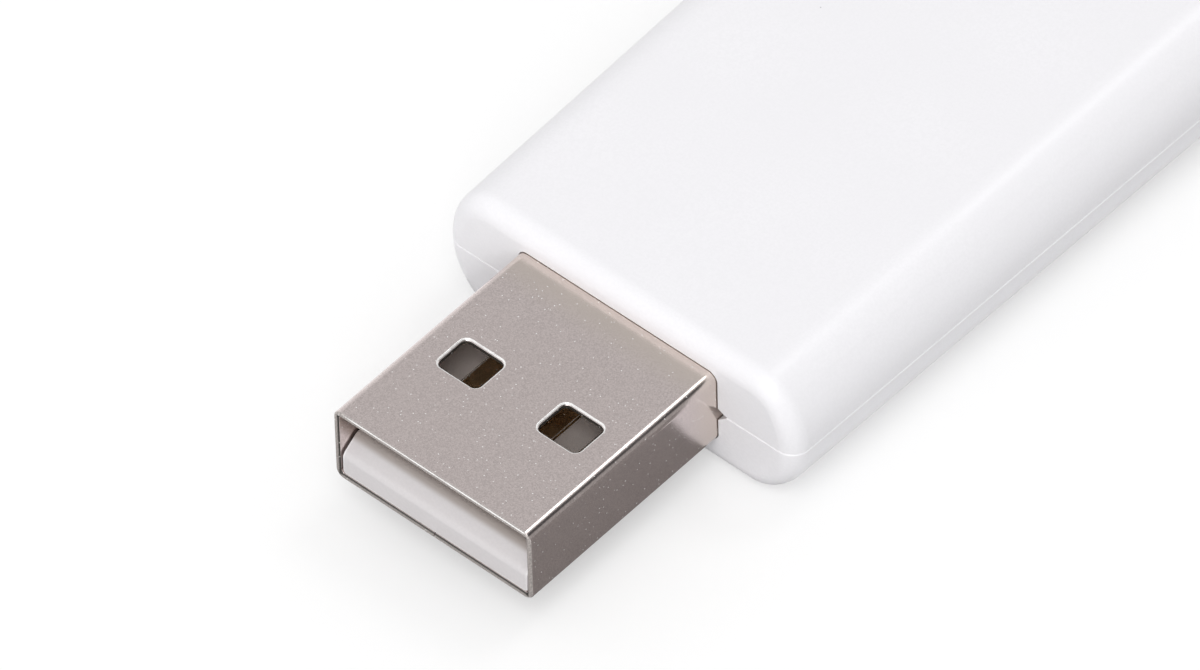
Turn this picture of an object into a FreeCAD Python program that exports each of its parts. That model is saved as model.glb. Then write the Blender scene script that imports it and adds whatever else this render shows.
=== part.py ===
import FreeCAD, Part
import math
import os

import Sketcher
from FreeCAD import Placement, Rotation, Vector

# USB signal repeater: a white moulded stick with a folded steel USB-A plug at one end.
#
# Frame of the whole object: X across, Y from the plug's mouth towards the back, Z up.
# The origin is at the middle of the length and width, on the face that the stick rests on.
# Every sub-part is drawn in a frame of its own and put in its place by its Placement.

# Driving dimensions, in millimetres: name, value, meaning.
SIZES = (
    # Moulded casing
    ("casing_length", 46.0, "casing, from its plug end to its back end"),
    ("front_width", 21.36, "casing width at the parting line, plug end"),
    ("back_width", 22.9, "casing width at the parting line, back end"),
    ("bottom_depth", 3.76, "rest face up to the parting line"),
    ("top_front_rise", 3.8, "parting line up to the top face, plug end"),
    ("top_back_rise", 4.44, "parting line up to the top face, back end"),
    ("top_straight", 0.2, "upright side above the parting line, plug end"),
    ("bottom_straight", 0.1, "upright side below the parting line"),
    ("top_bulge", 1.75, "how far the upper side arc would lean in at the top face"),
    ("bottom_bulge", 2.3, "how far the lower side arc would lean in at the rest face"),
    ("ridge_round", 2.2, "rounding between a side arc and a flat face"),
    ("front_round", 1.0, "rounding of the edges at the plug end"),
    ("back_round", 1.0, "rounding of the edges at the back end"),
    ("parting_bevel", 0.06, "bevel on both sides of the parting line"),
    ("casing_wall", 1.2, "wall of both covers"),
    ("lip_height", 0.7, "how far the top cover's lip reaches into the bottom cover"),
    ("lip_thickness", 0.5, "thickness of that lip"),
    ("lip_gap", 0.1, "clearance round the lip"),
    # Folded steel plug
    ("plug_width", 12.0, "plug shell, outside width"),
    ("plug_height", 4.5, "plug shell, outside height"),
    ("plug_reach", 12.8, "plug shell that stands out of the casing"),
    ("plug_tail", 4.0, "plug shell held inside the casing"),
    ("plug_rise", 1.76, "rest face up to the plug's underside"),
    ("plug_corner", 0.5, "outside corner radius of the plug shell"),
    ("plug_gap", 0.05, "clearance between the casing and the plug shell"),
    ("sheet_thickness", 0.3, "steel sheet of the plug shell"),
    ("mouth_bevel", 0.08, "bevel round the mouth of the plug shell"),
    ("seam_width", 0.05, "open seam along the underside of the plug shell"),
    ("window_width", 2.47, "latch window, across"),
    ("window_length", 2.06, "latch window, along the plug"),
    ("window_inset", 5.11, "mouth to the near edge of a latch window"),
    ("window_offset", 1.8, "middle of the plug to the inner edge of a window"),
    ("window_corner", 0.35, "corner radius of a latch window"),
    ("window_bevel", 0.1, "bevel round the upper rim of a latch window"),
    ("leg_reach", 2.8, "plug legs, behind the shell"),
    ("leg_width", 1.2, "plug leg where it drops into the board"),
    ("leg_shoulder", 1.3, "height of the strap that carries a plug leg"),
    ("leg_tip", 0.3, "plug leg below the board"),
    ("leg_gap", 0.15, "clearance of a plug leg in its slot"),
    ("lead_in_width", 0.55, "small notch beside the plug at the parting line, across"),
    ("lead_in_up", 0.28, "the same notch, up into the top cover"),
    ("lead_in_down", 0.5, "the same notch, down into the bottom cover"),
    # Plug insulator and contacts
    ("insulator_recess", 0.1, "mouth of the shell to the front of the insulator"),
    ("insulator_gap", 0.08, "clearance between the insulator and the shell"),
    ("insulator_top", 2.25, "plug's underside up to the insulator's contact face"),
    ("insulator_length", 15.4, "insulator, front to back"),
    ("nose_rise", 0.7, "height of the slope on the insulator's front edge"),
    ("nose_length", 1.0, "length of the slope on the insulator's front edge"),
    ("nose_round", 0.5, "rounding at both ends of that slope"),
    ("cavity_depth", 10.4, "mouth to the back wall of the plug's cavity"),
    ("contact_width", 1.0, "one contact, across"),
    ("contact_thickness", 0.25, "contact strip"),
    ("contact_proud", 0.03, "contact above the insulator's face"),
    ("contact_gap", 0.08, "clearance of a contact in its groove"),
    ("outer_contact_start", 1.8, "mouth to the power and ground contacts"),
    ("inner_contact_start", 2.8, "mouth to the two data contacts"),
    ("outer_contact_offset", 3.5, "middle of the plug to an outer contact"),
    ("inner_contact_offset", 1.0, "middle of the plug to an inner contact"),
    ("contact_slope", 1.2, "length of the bend down to the board"),
    ("contact_foot", 1.3, "soldered foot of a contact"),
    # Main board and what locates it
    ("board_thickness", 1.0, "main board"),
    ("board_side_gap", 0.7, "inside of the wall to the board's edge"),
    ("board_front_gap", 0.3, "plug shell to the board's front edge"),
    ("board_end_gap", 0.5, "board's back edge to the inside of the wall"),
    ("board_corner", 0.8, "corner radius of the board"),
    ("board_lift", 1.0, "inner floor up to the board's underside"),
    ("pin_diameter", 1.6, "locating pin"),
    ("pin_gap", 0.08, "clearance round a locating pin"),
    ("pin_reach", 1.6, "locating pin above the board"),
    ("pin_offset", 6.6, "middle of the board to a locating pin"),
    ("pin_inset", 7.0, "board's front edge to the locating pins"),
    ("seat_diameter", 3.2, "seat below the board, and boss above it"),
    ("boss_gap", 0.1, "clearance between the boss or stop and the board"),
    ("rib_thickness", 0.9, "cross rib under the board"),
    ("rib_inset", 6.0, "board's end to the nearer cross rib"),
    ("stop_width", 1.1, "hold-down stop above the board's edge"),
    ("stop_length", 2.4, "hold-down stop, along the board"),
    ("stop_inset", 4.0, "board's back edge to the hold-down stops"),
    # Radio module
    ("module_width", 14.0, "radio module board, across"),
    ("module_length", 20.0, "radio module board, along"),
    ("module_thickness", 0.8, "radio module board"),
    ("module_setback", 1.2, "module board to the main board's back edge"),
    ("pad_pitch", 2.5, "spacing of the module's edge pads"),
    ("pad_radius", 0.35, "half-round edge pad"),
    ("first_pad_inset", 1.6, "module's front edge to its first edge pad"),
    ("shield_width", 11.6, "shielding can, across"),
    ("shield_length", 12.0, "shielding can, along"),
    ("shield_height", 1.8, "shielding can"),
    ("shield_wall", 0.2, "sheet of the shielding can"),
    ("shield_round", 0.35, "upright corners of the shielding can"),
    ("shield_bevel", 0.2, "bevel round the top of the shielding can"),
    ("shield_inset", 0.8, "module's front edge to the shielding can"),
    ("shield_vent", 1.0, "small openings at the foot of the shielding can"),
    ("chip_side", 5.0, "radio chip, each side"),
    ("chip_height", 0.85, "radio chip"),
    ("chip_inset", 2.6, "inside of the can to the radio chip"),
    ("chip_bevel", 0.12, "bevel round the top of the radio chip"),
    ("crystal_length", 3.2, "crystal, across"),
    ("crystal_width", 2.5, "crystal, along"),
    ("crystal_height", 0.7, "crystal"),
    ("crystal_space", 0.8, "radio chip to the crystal"),
    ("trace_width", 0.6, "antenna trace"),
    ("trace_pitch", 1.5, "antenna trace, one leg to the next"),
    ("trace_height", 0.1, "copper of the antenna trace"),
    ("antenna_depth", 4.6, "antenna trace, along the module"),
    ("antenna_inset", 0.7, "module's back edge to the antenna trace"),
    # Power supply and indicator, placed from the middle of the board's front edge
    ("input_fuse_across", 3.0, "fuse"),
    ("input_fuse_along", 5.6, "fuse"),
    ("surge_diode_across", -2.2, "surge diode"),
    ("surge_diode_along", 5.6, "surge diode"),
    ("input_capacitor_across", 3.6, "input capacitor"),
    ("input_capacitor_along", 11.4, "input capacitor"),
    ("voltage_regulator_across", 0.0, "voltage regulator"),
    ("voltage_regulator_along", 12.2, "voltage regulator"),
    ("output_capacitor_across", -3.6, "output capacitor"),
    ("output_capacitor_along", 11.4, "output capacitor"),
    ("indicator_led_along", 13.0, "indicator lamp"),
    ("led_resistor_along", 10.8, "lamp resistor"),
    ("lamp_inset", 2.18, "board's side edge to the middle of the lamp and its resistor"),
    ("fuse_case_length", 3.2, "fuse, long side"),
    ("fuse_case_width", 1.6, "fuse, short side"),
    ("fuse_case_height", 0.8, "fuse"),
    ("capacitor_case_length", 2.0, "capacitor, long side"),
    ("capacitor_case_width", 1.25, "capacitor, short side"),
    ("capacitor_case_height", 1.2, "capacitor"),
    ("small_chip_length", 1.6, "resistor and lamp, long side"),
    ("small_chip_width", 0.8, "resistor and lamp, short side"),
    ("small_chip_height", 0.45, "resistor"),
    ("end_cap", 0.3, "metal end of a chip part"),
    ("end_cap_wrap", 0.04, "how much a metal end stands proud of the chip"),
    ("led_base", 0.25, "base of the indicator lamp"),
    ("led_lens_height", 0.4, "lens of the indicator lamp"),
    ("led_lens_inset", 0.25, "base's end to the lens"),
    ("regulator_case_length", 2.9, "regulator case, across"),
    ("regulator_case_width", 1.6, "regulator case, along"),
    ("regulator_case_height", 1.1, "regulator case and stand-off"),
    ("diode_case_length", 1.5, "diode case, across"),
    ("diode_case_width", 1.7, "diode case, along"),
    ("diode_case_height", 1.0, "diode case and stand-off"),
    ("case_standoff", 0.1, "gap below a leaded case"),
    ("case_bevel", 0.15, "bevel round the top of a leaded case"),
    ("lead_width", 0.4, "one lead"),
    ("lead_thickness", 0.15, "one lead"),
    ("lead_pitch", 0.95, "spacing of the regulator's leads"),
    ("lead_reach", 0.65, "lead outside its case"),
)

# Places in the whole object's frame, built up from the driving dimensions.
TOTAL_LENGTH = "(sizes.plug_reach + sizes.casing_length)"
MOUTH_Y = f"(0 - {TOTAL_LENGTH} / 2)"
CASING_Y = f"({MOUTH_Y} + sizes.plug_reach)"
BOARD_Y = f"({MOUTH_Y} + sizes.plug_reach + sizes.plug_tail + sizes.board_front_gap)"
BOARD_TOP = "(sizes.casing_wall + sizes.board_lift + sizes.board_thickness)"
BOARD_WIDTH = "(sizes.front_width - 2 * (sizes.casing_wall + sizes.board_side_gap))"
BOARD_LENGTH = (
    "(sizes.casing_length - sizes.casing_wall - sizes.board_end_gap"
    " - sizes.plug_tail - sizes.board_front_gap)"
)
# Board's front edge, measured from the casing's plug end.
BOARD_START = "(sizes.plug_tail + sizes.board_front_gap)"
MODULE_START = f"({BOARD_LENGTH} - sizes.module_setback - sizes.module_length)"
MODULE_TOP = f"({BOARD_TOP} + sizes.module_thickness)"
CHIP_START = "(sizes.shield_inset + sizes.shield_wall + sizes.chip_inset)"
# Locating pins, measured from the casing's plug end.
PIN_ALONG = f"({BOARD_START} + sizes.pin_inset)"
PIN_HOLE_RADIUS = "(sizes.pin_diameter / 2 + sizes.pin_gap)"
# Contacts that lie in one pair of grooves: name, start and distance from the middle.
CONTACT_PAIRS = (
    ("outer", "sizes.outer_contact_start", "sizes.outer_contact_offset"),
    ("inner", "sizes.inner_contact_start", "sizes.inner_contact_offset"),
)
ANTENNA_LEGS = 8
# Small parts that keep their distance from the main board's side edge.
ALONG_THE_EDGE = ("indicator_led", "led_resistor")

# Amounts by which a cut runs past the face that it opens, so that no skin is left.
PAST = 1.0
ON_PLANE = 1e-6
# How far a half section runs past the middle and the parting plane: more than the flare and climb.
SPARE = "(sizes.front_width / 4)"
# Whether the normal of an origin plane points along its axis or against it.
NORMAL_SIGN = {"XY_Plane": 1, "YZ_Plane": 1, "XZ_Plane": -1}
CUTTING = ("PartDesign::Pocket",)

doc = FreeCAD.newDocument("usb_signal_repeater")
sheet = doc.addObject("Spreadsheet::Sheet", "sizes")
for row, (alias, millimetres, meaning) in enumerate(SIZES, start=1):
    sheet.set(f"A{row}", meaning)
    sheet.set(f"B{row}", str(millimetres))
    sheet.setAlias(f"B{row}", alias)
doc.recompute()


# Helpers for bodies, sketches and features

def value(expression):
    """What an expression over the sheet comes to, in millimetres."""
    return float(sheet.evalExpression(expression))


def new_body(label, across="0", along="0", up="0", turned=False):
    """A body whose own origin lies at a place of the whole object."""
    body = doc.addObject("PartDesign::Body", label)
    body.Label = label
    if turned:
        body.Placement = Placement(Vector(), Rotation(Vector(0, 1, 0), 180))
    for axis, expression in (("x", across), ("y", along), ("z", up)):
        body.setExpression(f"Placement.Base.{axis}", expression)
    return body


def origin_feature(body, role):
    """An axis or plane of a body's own origin."""
    return next(f for f in body.Origin.OriginFeatures if f.Role == role)


def new_sketch(body, name, role, offset="0"):
    """A sketch on an origin plane of its body, moved along that plane's axis."""
    sketch = body.newObject("Sketcher::SketchObject", name)
    sketch.AttachmentSupport = [(origin_feature(body, role), "")]
    sketch.MapMode = "FlatFace"
    sign = "" if NORMAL_SIGN[role] > 0 else "-1 * "
    sketch.setExpression("AttachmentOffset.Base.z", f"{sign}({offset})")
    return sketch


def set_coordinate(sketch, kind, geometry, end, expression):
    """Fix one coordinate of a point, measured from the sketch's origin."""
    constraint = Sketcher.Constraint(kind, -1, 1, geometry, end, value(expression))
    index = sketch.addConstraint(constraint)
    sketch.setExpression(f"Constraints[{index}]", expression)


def polygon(sketch, corners):
    """A closed outline of straight lines through (across, up) corners."""
    points = [Vector(value(x), value(y), 0) for x, y in corners]
    first = sketch.GeometryCount
    count = len(points)
    for i, point in enumerate(points):
        sketch.addGeometry(Part.LineSegment(point, points[(i + 1) % count]))
    for i, (x, y) in enumerate(corners):
        following = first + (i + 1) % count
        sketch.addConstraint(Sketcher.Constraint("Coincident", first + i, 2, following, 1))
        set_coordinate(sketch, "DistanceX", first + i, 1, x)
        set_coordinate(sketch, "DistanceY", first + i, 1, y)


def rectangle(sketch, left, right, low, high):
    """A plain rectangle."""
    polygon(sketch, [(left, low), (right, low), (right, high), (left, high)])


def rounded_rectangle(sketch, left, right, low, high, radius):
    """Four lines joined by four tangent quarter arcs of one radius."""
    x0, x1, y0, y1, r = (value(e) for e in (left, right, low, high, radius))
    lines = (
        ((x0 + r, y0), (x1 - r, y0)),
        ((x1, y0 + r), (x1, y1 - r)),
        ((x1 - r, y1), (x0 + r, y1)),
        ((x0, y1 - r), (x0, y0 + r)),
    )
    centres = ((x1 - r, y0 + r), (x1 - r, y1 - r), (x0 + r, y1 - r), (x0 + r, y0 + r))
    first = sketch.GeometryCount
    quarter = math.pi / 2
    for turn, ((start, end), centre) in enumerate(zip(lines, centres)):
        sketch.addGeometry(Part.LineSegment(Vector(*start), Vector(*end)))
        corner = Part.Circle(Vector(*centre), Vector(0, 0, 1), r)
        sketch.addGeometry(Part.ArcOfCircle(corner, (turn - 1) * quarter, turn * quarter))
    for turn in range(4):
        line = first + 2 * turn
        following = first + (2 * turn + 2) % 8
        sketch.addConstraint(Sketcher.Constraint("Tangent", line, 2, line + 1, 1))
        sketch.addConstraint(Sketcher.Constraint("Tangent", line + 1, 2, following, 1))
    for line, direction in ((0, "Horizontal"), (2, "Vertical"), (4, "Horizontal"), (6, "Vertical")):
        sketch.addConstraint(Sketcher.Constraint(direction, first + line))
    for arc in (3, 5, 7):
        sketch.addConstraint(Sketcher.Constraint("Equal", first + 1, first + arc))
    index = sketch.addConstraint(Sketcher.Constraint("Radius", first + 1, r))
    sketch.setExpression(f"Constraints[{index}]", radius)
    set_coordinate(sketch, "DistanceY", first, 1, low)
    set_coordinate(sketch, "DistanceX", first + 2, 1, right)
    set_coordinate(sketch, "DistanceY", first + 4, 1, high)
    set_coordinate(sketch, "DistanceX", first + 6, 1, left)


def circle(sketch, across, up, radius):
    """A full circle about an (across, up) centre."""
    centre = Vector(value(across), value(up), 0)
    index = sketch.addGeometry(Part.Circle(centre, Vector(0, 0, 1), value(radius)))
    set_coordinate(sketch, "DistanceX", index, 3, across)
    set_coordinate(sketch, "DistanceY", index, 3, up)
    constraint = sketch.addConstraint(Sketcher.Constraint("Radius", index, value(radius)))
    sketch.setExpression(f"Constraints[{constraint}]", radius)


def plane_sign(sketch):
    """Whether the plane under a sketch faces along its axis or against it."""
    return NORMAL_SIGN[sketch.AttachmentSupport[0][0].Role]


def pad(sketch, length, along=1, both_sides=False):
    """Material from a sketch, along or against the axis of its plane."""
    body = sketch.getParentGeoFeatureGroup()
    feature = body.newObject("PartDesign::Pad", sketch.Name + "_pad")
    feature.Profile = sketch
    feature.setExpression("Length", length)
    feature.Reversed = along * plane_sign(sketch) < 0
    feature.SideType = "Symmetric" if both_sides else "One side"
    return feature


def pocket(sketch, length, along=1, both_sides=False):
    """A cut from a sketch, along or against the axis of its plane."""
    body = sketch.getParentGeoFeatureGroup()
    feature = body.newObject("PartDesign::Pocket", sketch.Name + "_cut")
    feature.Profile = sketch
    feature.setExpression("Length", length)
    feature.Reversed = along * plane_sign(sketch) > 0
    feature.SideType = "Symmetric" if both_sides else "One side"
    return feature


def row_of(feature, axis, step, count):
    """Copies of a feature in a row along an axis of its body."""
    body = feature.getParentGeoFeatureGroup()
    row = body.newObject("PartDesign::LinearPattern", feature.Name + "_row")
    row.Originals = [feature]
    row.Direction = (origin_feature(body, axis), [""])
    row.Occurrences = count
    row.setExpression("Length", f"{step} * {count - 1}")
    body.Tip = row
    return row


def dress(kind, base, name, amount, chosen):
    """A Fillet or Chamfer on the edges of the base feature that a test picks out."""
    doc.recompute()
    body = base.getParentGeoFeatureGroup()
    edges = [f"Edge{i}" for i, edge in enumerate(base.Shape.Edges, start=1) if chosen(edge.BoundBox)]
    feature = body.newObject(f"PartDesign::{kind}", name)
    feature.Base = (base, edges)
    feature.setExpression("Radius" if kind == "Fillet" else "Size", amount)
    return feature


# Casing covers
#
# Both covers are drawn the same way up: the parting plane at Z = 0, the shell above it, the
# plug end at Y = 0. The bottom cover is then turned over about Y.

def width_at(station):
    """Half the casing's width at the parting line, at a distance from the plug end."""
    flare = "(sizes.back_width - sizes.front_width) / sizes.casing_length"
    return f"((sizes.front_width + {flare} * ({station})) / 2)"


def cover_side(body, name, inset, rise, straight, bulge):
    """Half of a cover's section: upright side, side arc, ridge arc and flat face, all tangent.

    It runs past the middle and the parting plane, so that the two halves overlap and can be cut.
    """
    sketch = new_sketch(body, name, "XZ_Plane", inset)
    half = f"({width_at(inset)} - {inset})"
    level = f"({rise} - {inset})"
    low = f"-1 * {SPARE}"
    side_radius = f"((({rise} - {straight})^2 + {bulge}^2) / (2 * {bulge}) - {inset})"
    ridge_radius = f"max(sizes.ridge_round - {inset}; sizes.ridge_round / 4)"
    w, top, start, spare = (value(e) for e in (half, level, straight, low))
    big, small = value(side_radius), value(ridge_radius)

    # The ridge arc lies inside the side arc's circle, so their centres are big - small apart.
    climb = top - small - start
    side_centre = Vector(w - big, start, 0)
    ridge_centre = side_centre + Vector(math.sqrt((big - small) ** 2 - climb**2), climb, 0)
    meeting = math.asin(climb / (big - small))
    axis = Vector(0, 0, 1)
    sketch.addGeometry(Part.LineSegment(Vector(spare, spare, 0), Vector(w, spare, 0)))
    sketch.addGeometry(Part.LineSegment(Vector(w, spare, 0), Vector(w, start, 0)))
    sketch.addGeometry(Part.ArcOfCircle(Part.Circle(side_centre, axis, big), 0, meeting))
    ridge = Part.Circle(ridge_centre, axis, small)
    sketch.addGeometry(Part.ArcOfCircle(ridge, meeting, math.pi / 2))
    sketch.addGeometry(Part.LineSegment(Vector(ridge_centre.x, top, 0), Vector(spare, top, 0)))
    sketch.addGeometry(Part.LineSegment(Vector(spare, top, 0), Vector(spare, spare, 0)))

    joints = ("Coincident", "Tangent", "Tangent", "Tangent", "Coincident", "Coincident")
    for edge, kind in enumerate(joints):
        sketch.addConstraint(Sketcher.Constraint(kind, edge, 2, (edge + 1) % len(joints), 1))
    for edge, kind in ((0, "Horizontal"), (1, "Vertical"), (4, "Horizontal"), (5, "Vertical")):
        sketch.addConstraint(Sketcher.Constraint(kind, edge))
    set_coordinate(sketch, "DistanceX", 0, 1, low)
    set_coordinate(sketch, "DistanceY", 0, 1, low)
    set_coordinate(sketch, "DistanceX", 1, 1, half)
    set_coordinate(sketch, "DistanceY", 1, 2, straight)
    set_coordinate(sketch, "DistanceY", 5, 1, level)
    for arc, radius in ((2, side_radius), (3, ridge_radius)):
        index = sketch.addConstraint(Sketcher.Constraint("Radius", arc, value(radius)))
        sketch.setExpression(f"Constraints[{index}]", radius)
    return sketch


def both_sides(operation, sketch, length, climb):
    """A pad or pocket of a half section along the flaring, climbing side, and its mirror image."""
    body = sketch.getParentGeoFeatureGroup()
    feature = operation(sketch, length)
    feature.Reversed = False
    feature.UseCustomVector = True
    feature.AlongSketchNormal = True
    feature.setExpression("Direction.x", "(sizes.back_width - sizes.front_width) / 2")
    feature.setExpression("Direction.y", "sizes.casing_length")
    feature.setExpression("Direction.z", climb)
    doc.recompute()
    pair = body.newObject("PartDesign::Mirrored", f"{sketch.Name}_pair")
    pair.Originals = [feature]
    pair.MirrorPlane = (origin_feature(body, "YZ_Plane"), [""])
    body.Tip = pair
    return pair


def wall_ring(sketch, outer_inset, inner_inset):
    """A ring that follows the wall in plan, between two distances in from the outside."""
    for inset in (outer_inset, inner_inset):
        back = f"(sizes.casing_length - ({inset}))"
        front_half = f"({width_at(inset)} - ({inset}))"
        back_half = f"({width_at(back)} - ({inset}))"
        corners = [
            (f"-1 * {front_half}", inset),
            (front_half, inset),
            (back_half, back),
            (f"-1 * {back_half}", back),
        ]
        polygon(sketch, corners)


def cover_shell(label, front_rise, back_rise, straight, bulge, turned):
    """The part of a cover that both share: outside form and cavity."""
    body = new_body(label, "0", CASING_Y, "sizes.bottom_depth", turned)
    wall = "sizes.casing_wall"
    climb = f"({back_rise} - {front_rise})"

    outside = cover_side(body, f"{label}_side", "0", front_rise, straight, bulge)
    both_sides(pad, outside, "sizes.casing_length", climb)
    parting = new_sketch(body, f"{label}_parting", "XY_Plane")
    reach = f"(sizes.back_width + {SPARE})"
    rectangle(parting, f"-1 * {reach}", reach, f"-1 * {PAST}", f"sizes.casing_length + {PAST}")
    below = pocket(parting, f"2 * {SPARE}", along=-1)

    front = dress(
        "Fillet", below, f"{label}_front_edge", "sizes.front_round",
        lambda box: box.YMax < ON_PLANE and box.ZMax > ON_PLANE,
    )
    last = value("sizes.casing_length") - ON_PLANE
    back = dress(
        "Fillet", front, f"{label}_back_edge", "sizes.back_round",
        lambda box: box.YMin > last and box.ZMax > ON_PLANE,
    )
    dress(
        "Chamfer", back, f"{label}_parting_edge", "sizes.parting_bevel",
        lambda box: box.ZMax < ON_PLANE,
    )

    slope = f"{climb} / sizes.casing_length"
    inner_rise = f"({front_rise} + {slope} * {wall})"
    inner_straight = f"({straight} + {slope} * {wall})"
    inside = cover_side(body, f"{label}_inner_side", wall, inner_rise, inner_straight, bulge)
    both_sides(pocket, inside, f"(sizes.casing_length - 2 * {wall})", climb)
    return body


def plug_opening(body, height, lead_in):
    """The snug opening in the front wall, with a small notch beside it at the parting line."""
    label = body.Label
    side = "(sizes.plug_width / 2 + sizes.plug_gap)"
    opening = new_sketch(body, f"{label}_opening", "XZ_Plane", f"-1 * {PAST}")
    below = f"-1 * (sizes.lip_height + {PAST})"
    corner = "(sizes.plug_corner + sizes.plug_gap)"
    rounded_rectangle(opening, f"-1 * {side}", side, below, height, corner)
    pocket(opening, f"{PAST} + sizes.plug_tail + sizes.plug_gap")

    notch = new_sketch(body, f"{label}_notch", "XZ_Plane", f"-1 * {PAST}")
    reach = f"({side} + sizes.lead_in_width)"
    for sign in ("", "-1 * "):
        polygon(notch, [(f"{sign}{side}", "0"), (f"{sign}{reach}", "0"), (f"{sign}{side}", lead_in)])
    pocket(notch, f"{PAST} + sizes.casing_wall - sizes.lip_thickness")


def top_cover():
    """Upper shell, with the lip, two hollow bosses and two hold-down stops."""
    rises = ("sizes.top_front_rise", "sizes.top_back_rise")
    body = cover_shell("top_cover", *rises, "sizes.top_straight", "sizes.top_bulge", False)

    lip = new_sketch(body, "top_lip", "XY_Plane")
    wall_ring(lip, "(sizes.casing_wall - sizes.lip_thickness)", "sizes.casing_wall")
    pad(lip, "sizes.lip_height", along=-1)

    # Bosses and stops hang from the ceiling and end just above the board.
    board_level = f"({BOARD_TOP} - sizes.bottom_depth + sizes.boss_gap)"
    into_ceiling = f"(sizes.top_front_rise - sizes.casing_wall / 2 - {board_level})"
    bosses = new_sketch(body, "top_bosses", "XY_Plane", board_level)
    for sign in ("", "-1 * "):
        circle(bosses, f"{sign}sizes.pin_offset", PIN_ALONG, "sizes.seat_diameter / 2")
    pad(bosses, into_ceiling)
    sockets = new_sketch(body, "top_sockets", "XY_Plane", board_level)
    for sign in ("", "-1 * "):
        circle(sockets, f"{sign}sizes.pin_offset", PIN_ALONG, PIN_HOLE_RADIUS)
    pocket(sockets, "sizes.pin_reach")

    stops = new_sketch(body, "top_stops", "XY_Plane", board_level)
    edge = f"({BOARD_WIDTH} / 2)"
    stop_back = f"({BOARD_START} + {BOARD_LENGTH} - sizes.stop_inset)"
    stop_front = f"({stop_back} - sizes.stop_length)"
    rectangle(stops, f"{edge} - sizes.stop_width", edge, stop_front, stop_back)
    rectangle(stops, f"-1 * {edge}", f"sizes.stop_width - {edge}", stop_front, stop_back)
    pad(stops, into_ceiling)

    opening_height = "(sizes.plug_rise + sizes.plug_height + sizes.plug_gap - sizes.bottom_depth)"
    plug_opening(body, opening_height, "sizes.lead_in_up")
    return body


def bottom_cover():
    """Lower shell, turned over, with the groove, the plug cradle, pins, seats and ribs."""
    rises = ("sizes.bottom_depth", "sizes.bottom_depth")
    body = cover_shell("bottom_cover", *rises, "sizes.bottom_straight", "sizes.bottom_bulge", True)

    groove = new_sketch(body, "bottom_groove", "XY_Plane", f"-1 * {PAST}")
    outside = "(sizes.casing_wall - sizes.lip_thickness - sizes.lip_gap)"
    inside = "(sizes.casing_wall + sizes.lip_gap)"
    wall_ring(groove, outside, inside)
    pocket(groove, f"{PAST} + sizes.lip_height + sizes.lip_gap")

    # Heights here are measured down from the parting plane, because the cover is turned over.
    floor = "(sizes.bottom_depth - sizes.casing_wall)"
    under_board = f"({floor} - sizes.board_lift)"
    into_floor = "(sizes.board_lift + sizes.casing_wall / 2)"
    seats = new_sketch(body, "bottom_seats", "XY_Plane", under_board)
    for sign in ("", "-1 * "):
        circle(seats, f"{sign}sizes.pin_offset", PIN_ALONG, "sizes.seat_diameter / 2")
    pad(seats, into_floor)
    pin_top = f"({under_board} - sizes.board_thickness - sizes.pin_reach + sizes.pin_gap)"
    pins = new_sketch(body, "bottom_pins", "XY_Plane", pin_top)
    for sign in ("", "-1 * "):
        circle(pins, f"{sign}sizes.pin_offset", PIN_ALONG, "sizes.pin_diameter / 2")
    pad(pins, f"({under_board} - {pin_top} + sizes.board_lift)")

    ribs = new_sketch(body, "bottom_ribs", "XY_Plane", under_board)
    half = f"({BOARD_WIDTH} / 2 - sizes.board_side_gap)"
    first = f"({BOARD_START} + {BOARD_LENGTH} / 2)"
    second = f"({BOARD_START} + {BOARD_LENGTH} - sizes.rib_inset)"
    for start in (first, second):
        rectangle(ribs, f"-1 * {half}", half, start, f"{start} + sizes.rib_thickness")
    pad(ribs, into_floor)

    cradle_level = "(sizes.bottom_depth - sizes.plug_rise + sizes.plug_gap)"
    cradle = new_sketch(body, "bottom_cradle", "XY_Plane", cradle_level)
    cradle_half = "(sizes.plug_width / 2 - sizes.plug_corner)"
    cradle_front = "(sizes.casing_wall / 2)"
    rectangle(cradle, f"-1 * {cradle_half}", cradle_half, cradle_front, "sizes.plug_tail")
    pad(cradle, "(sizes.plug_rise - sizes.plug_gap - sizes.casing_wall / 2)")

    plug_opening(body, cradle_level, "sizes.lead_in_down")
    return body


# Plug
#
# The plug's pieces share a frame: the middle of the mouth, on the shell's underside.

def plug_body(label, across="0"):
    """A body in the plug's frame."""
    return new_body(label, across, MOUTH_Y, "sizes.plug_rise")


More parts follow.
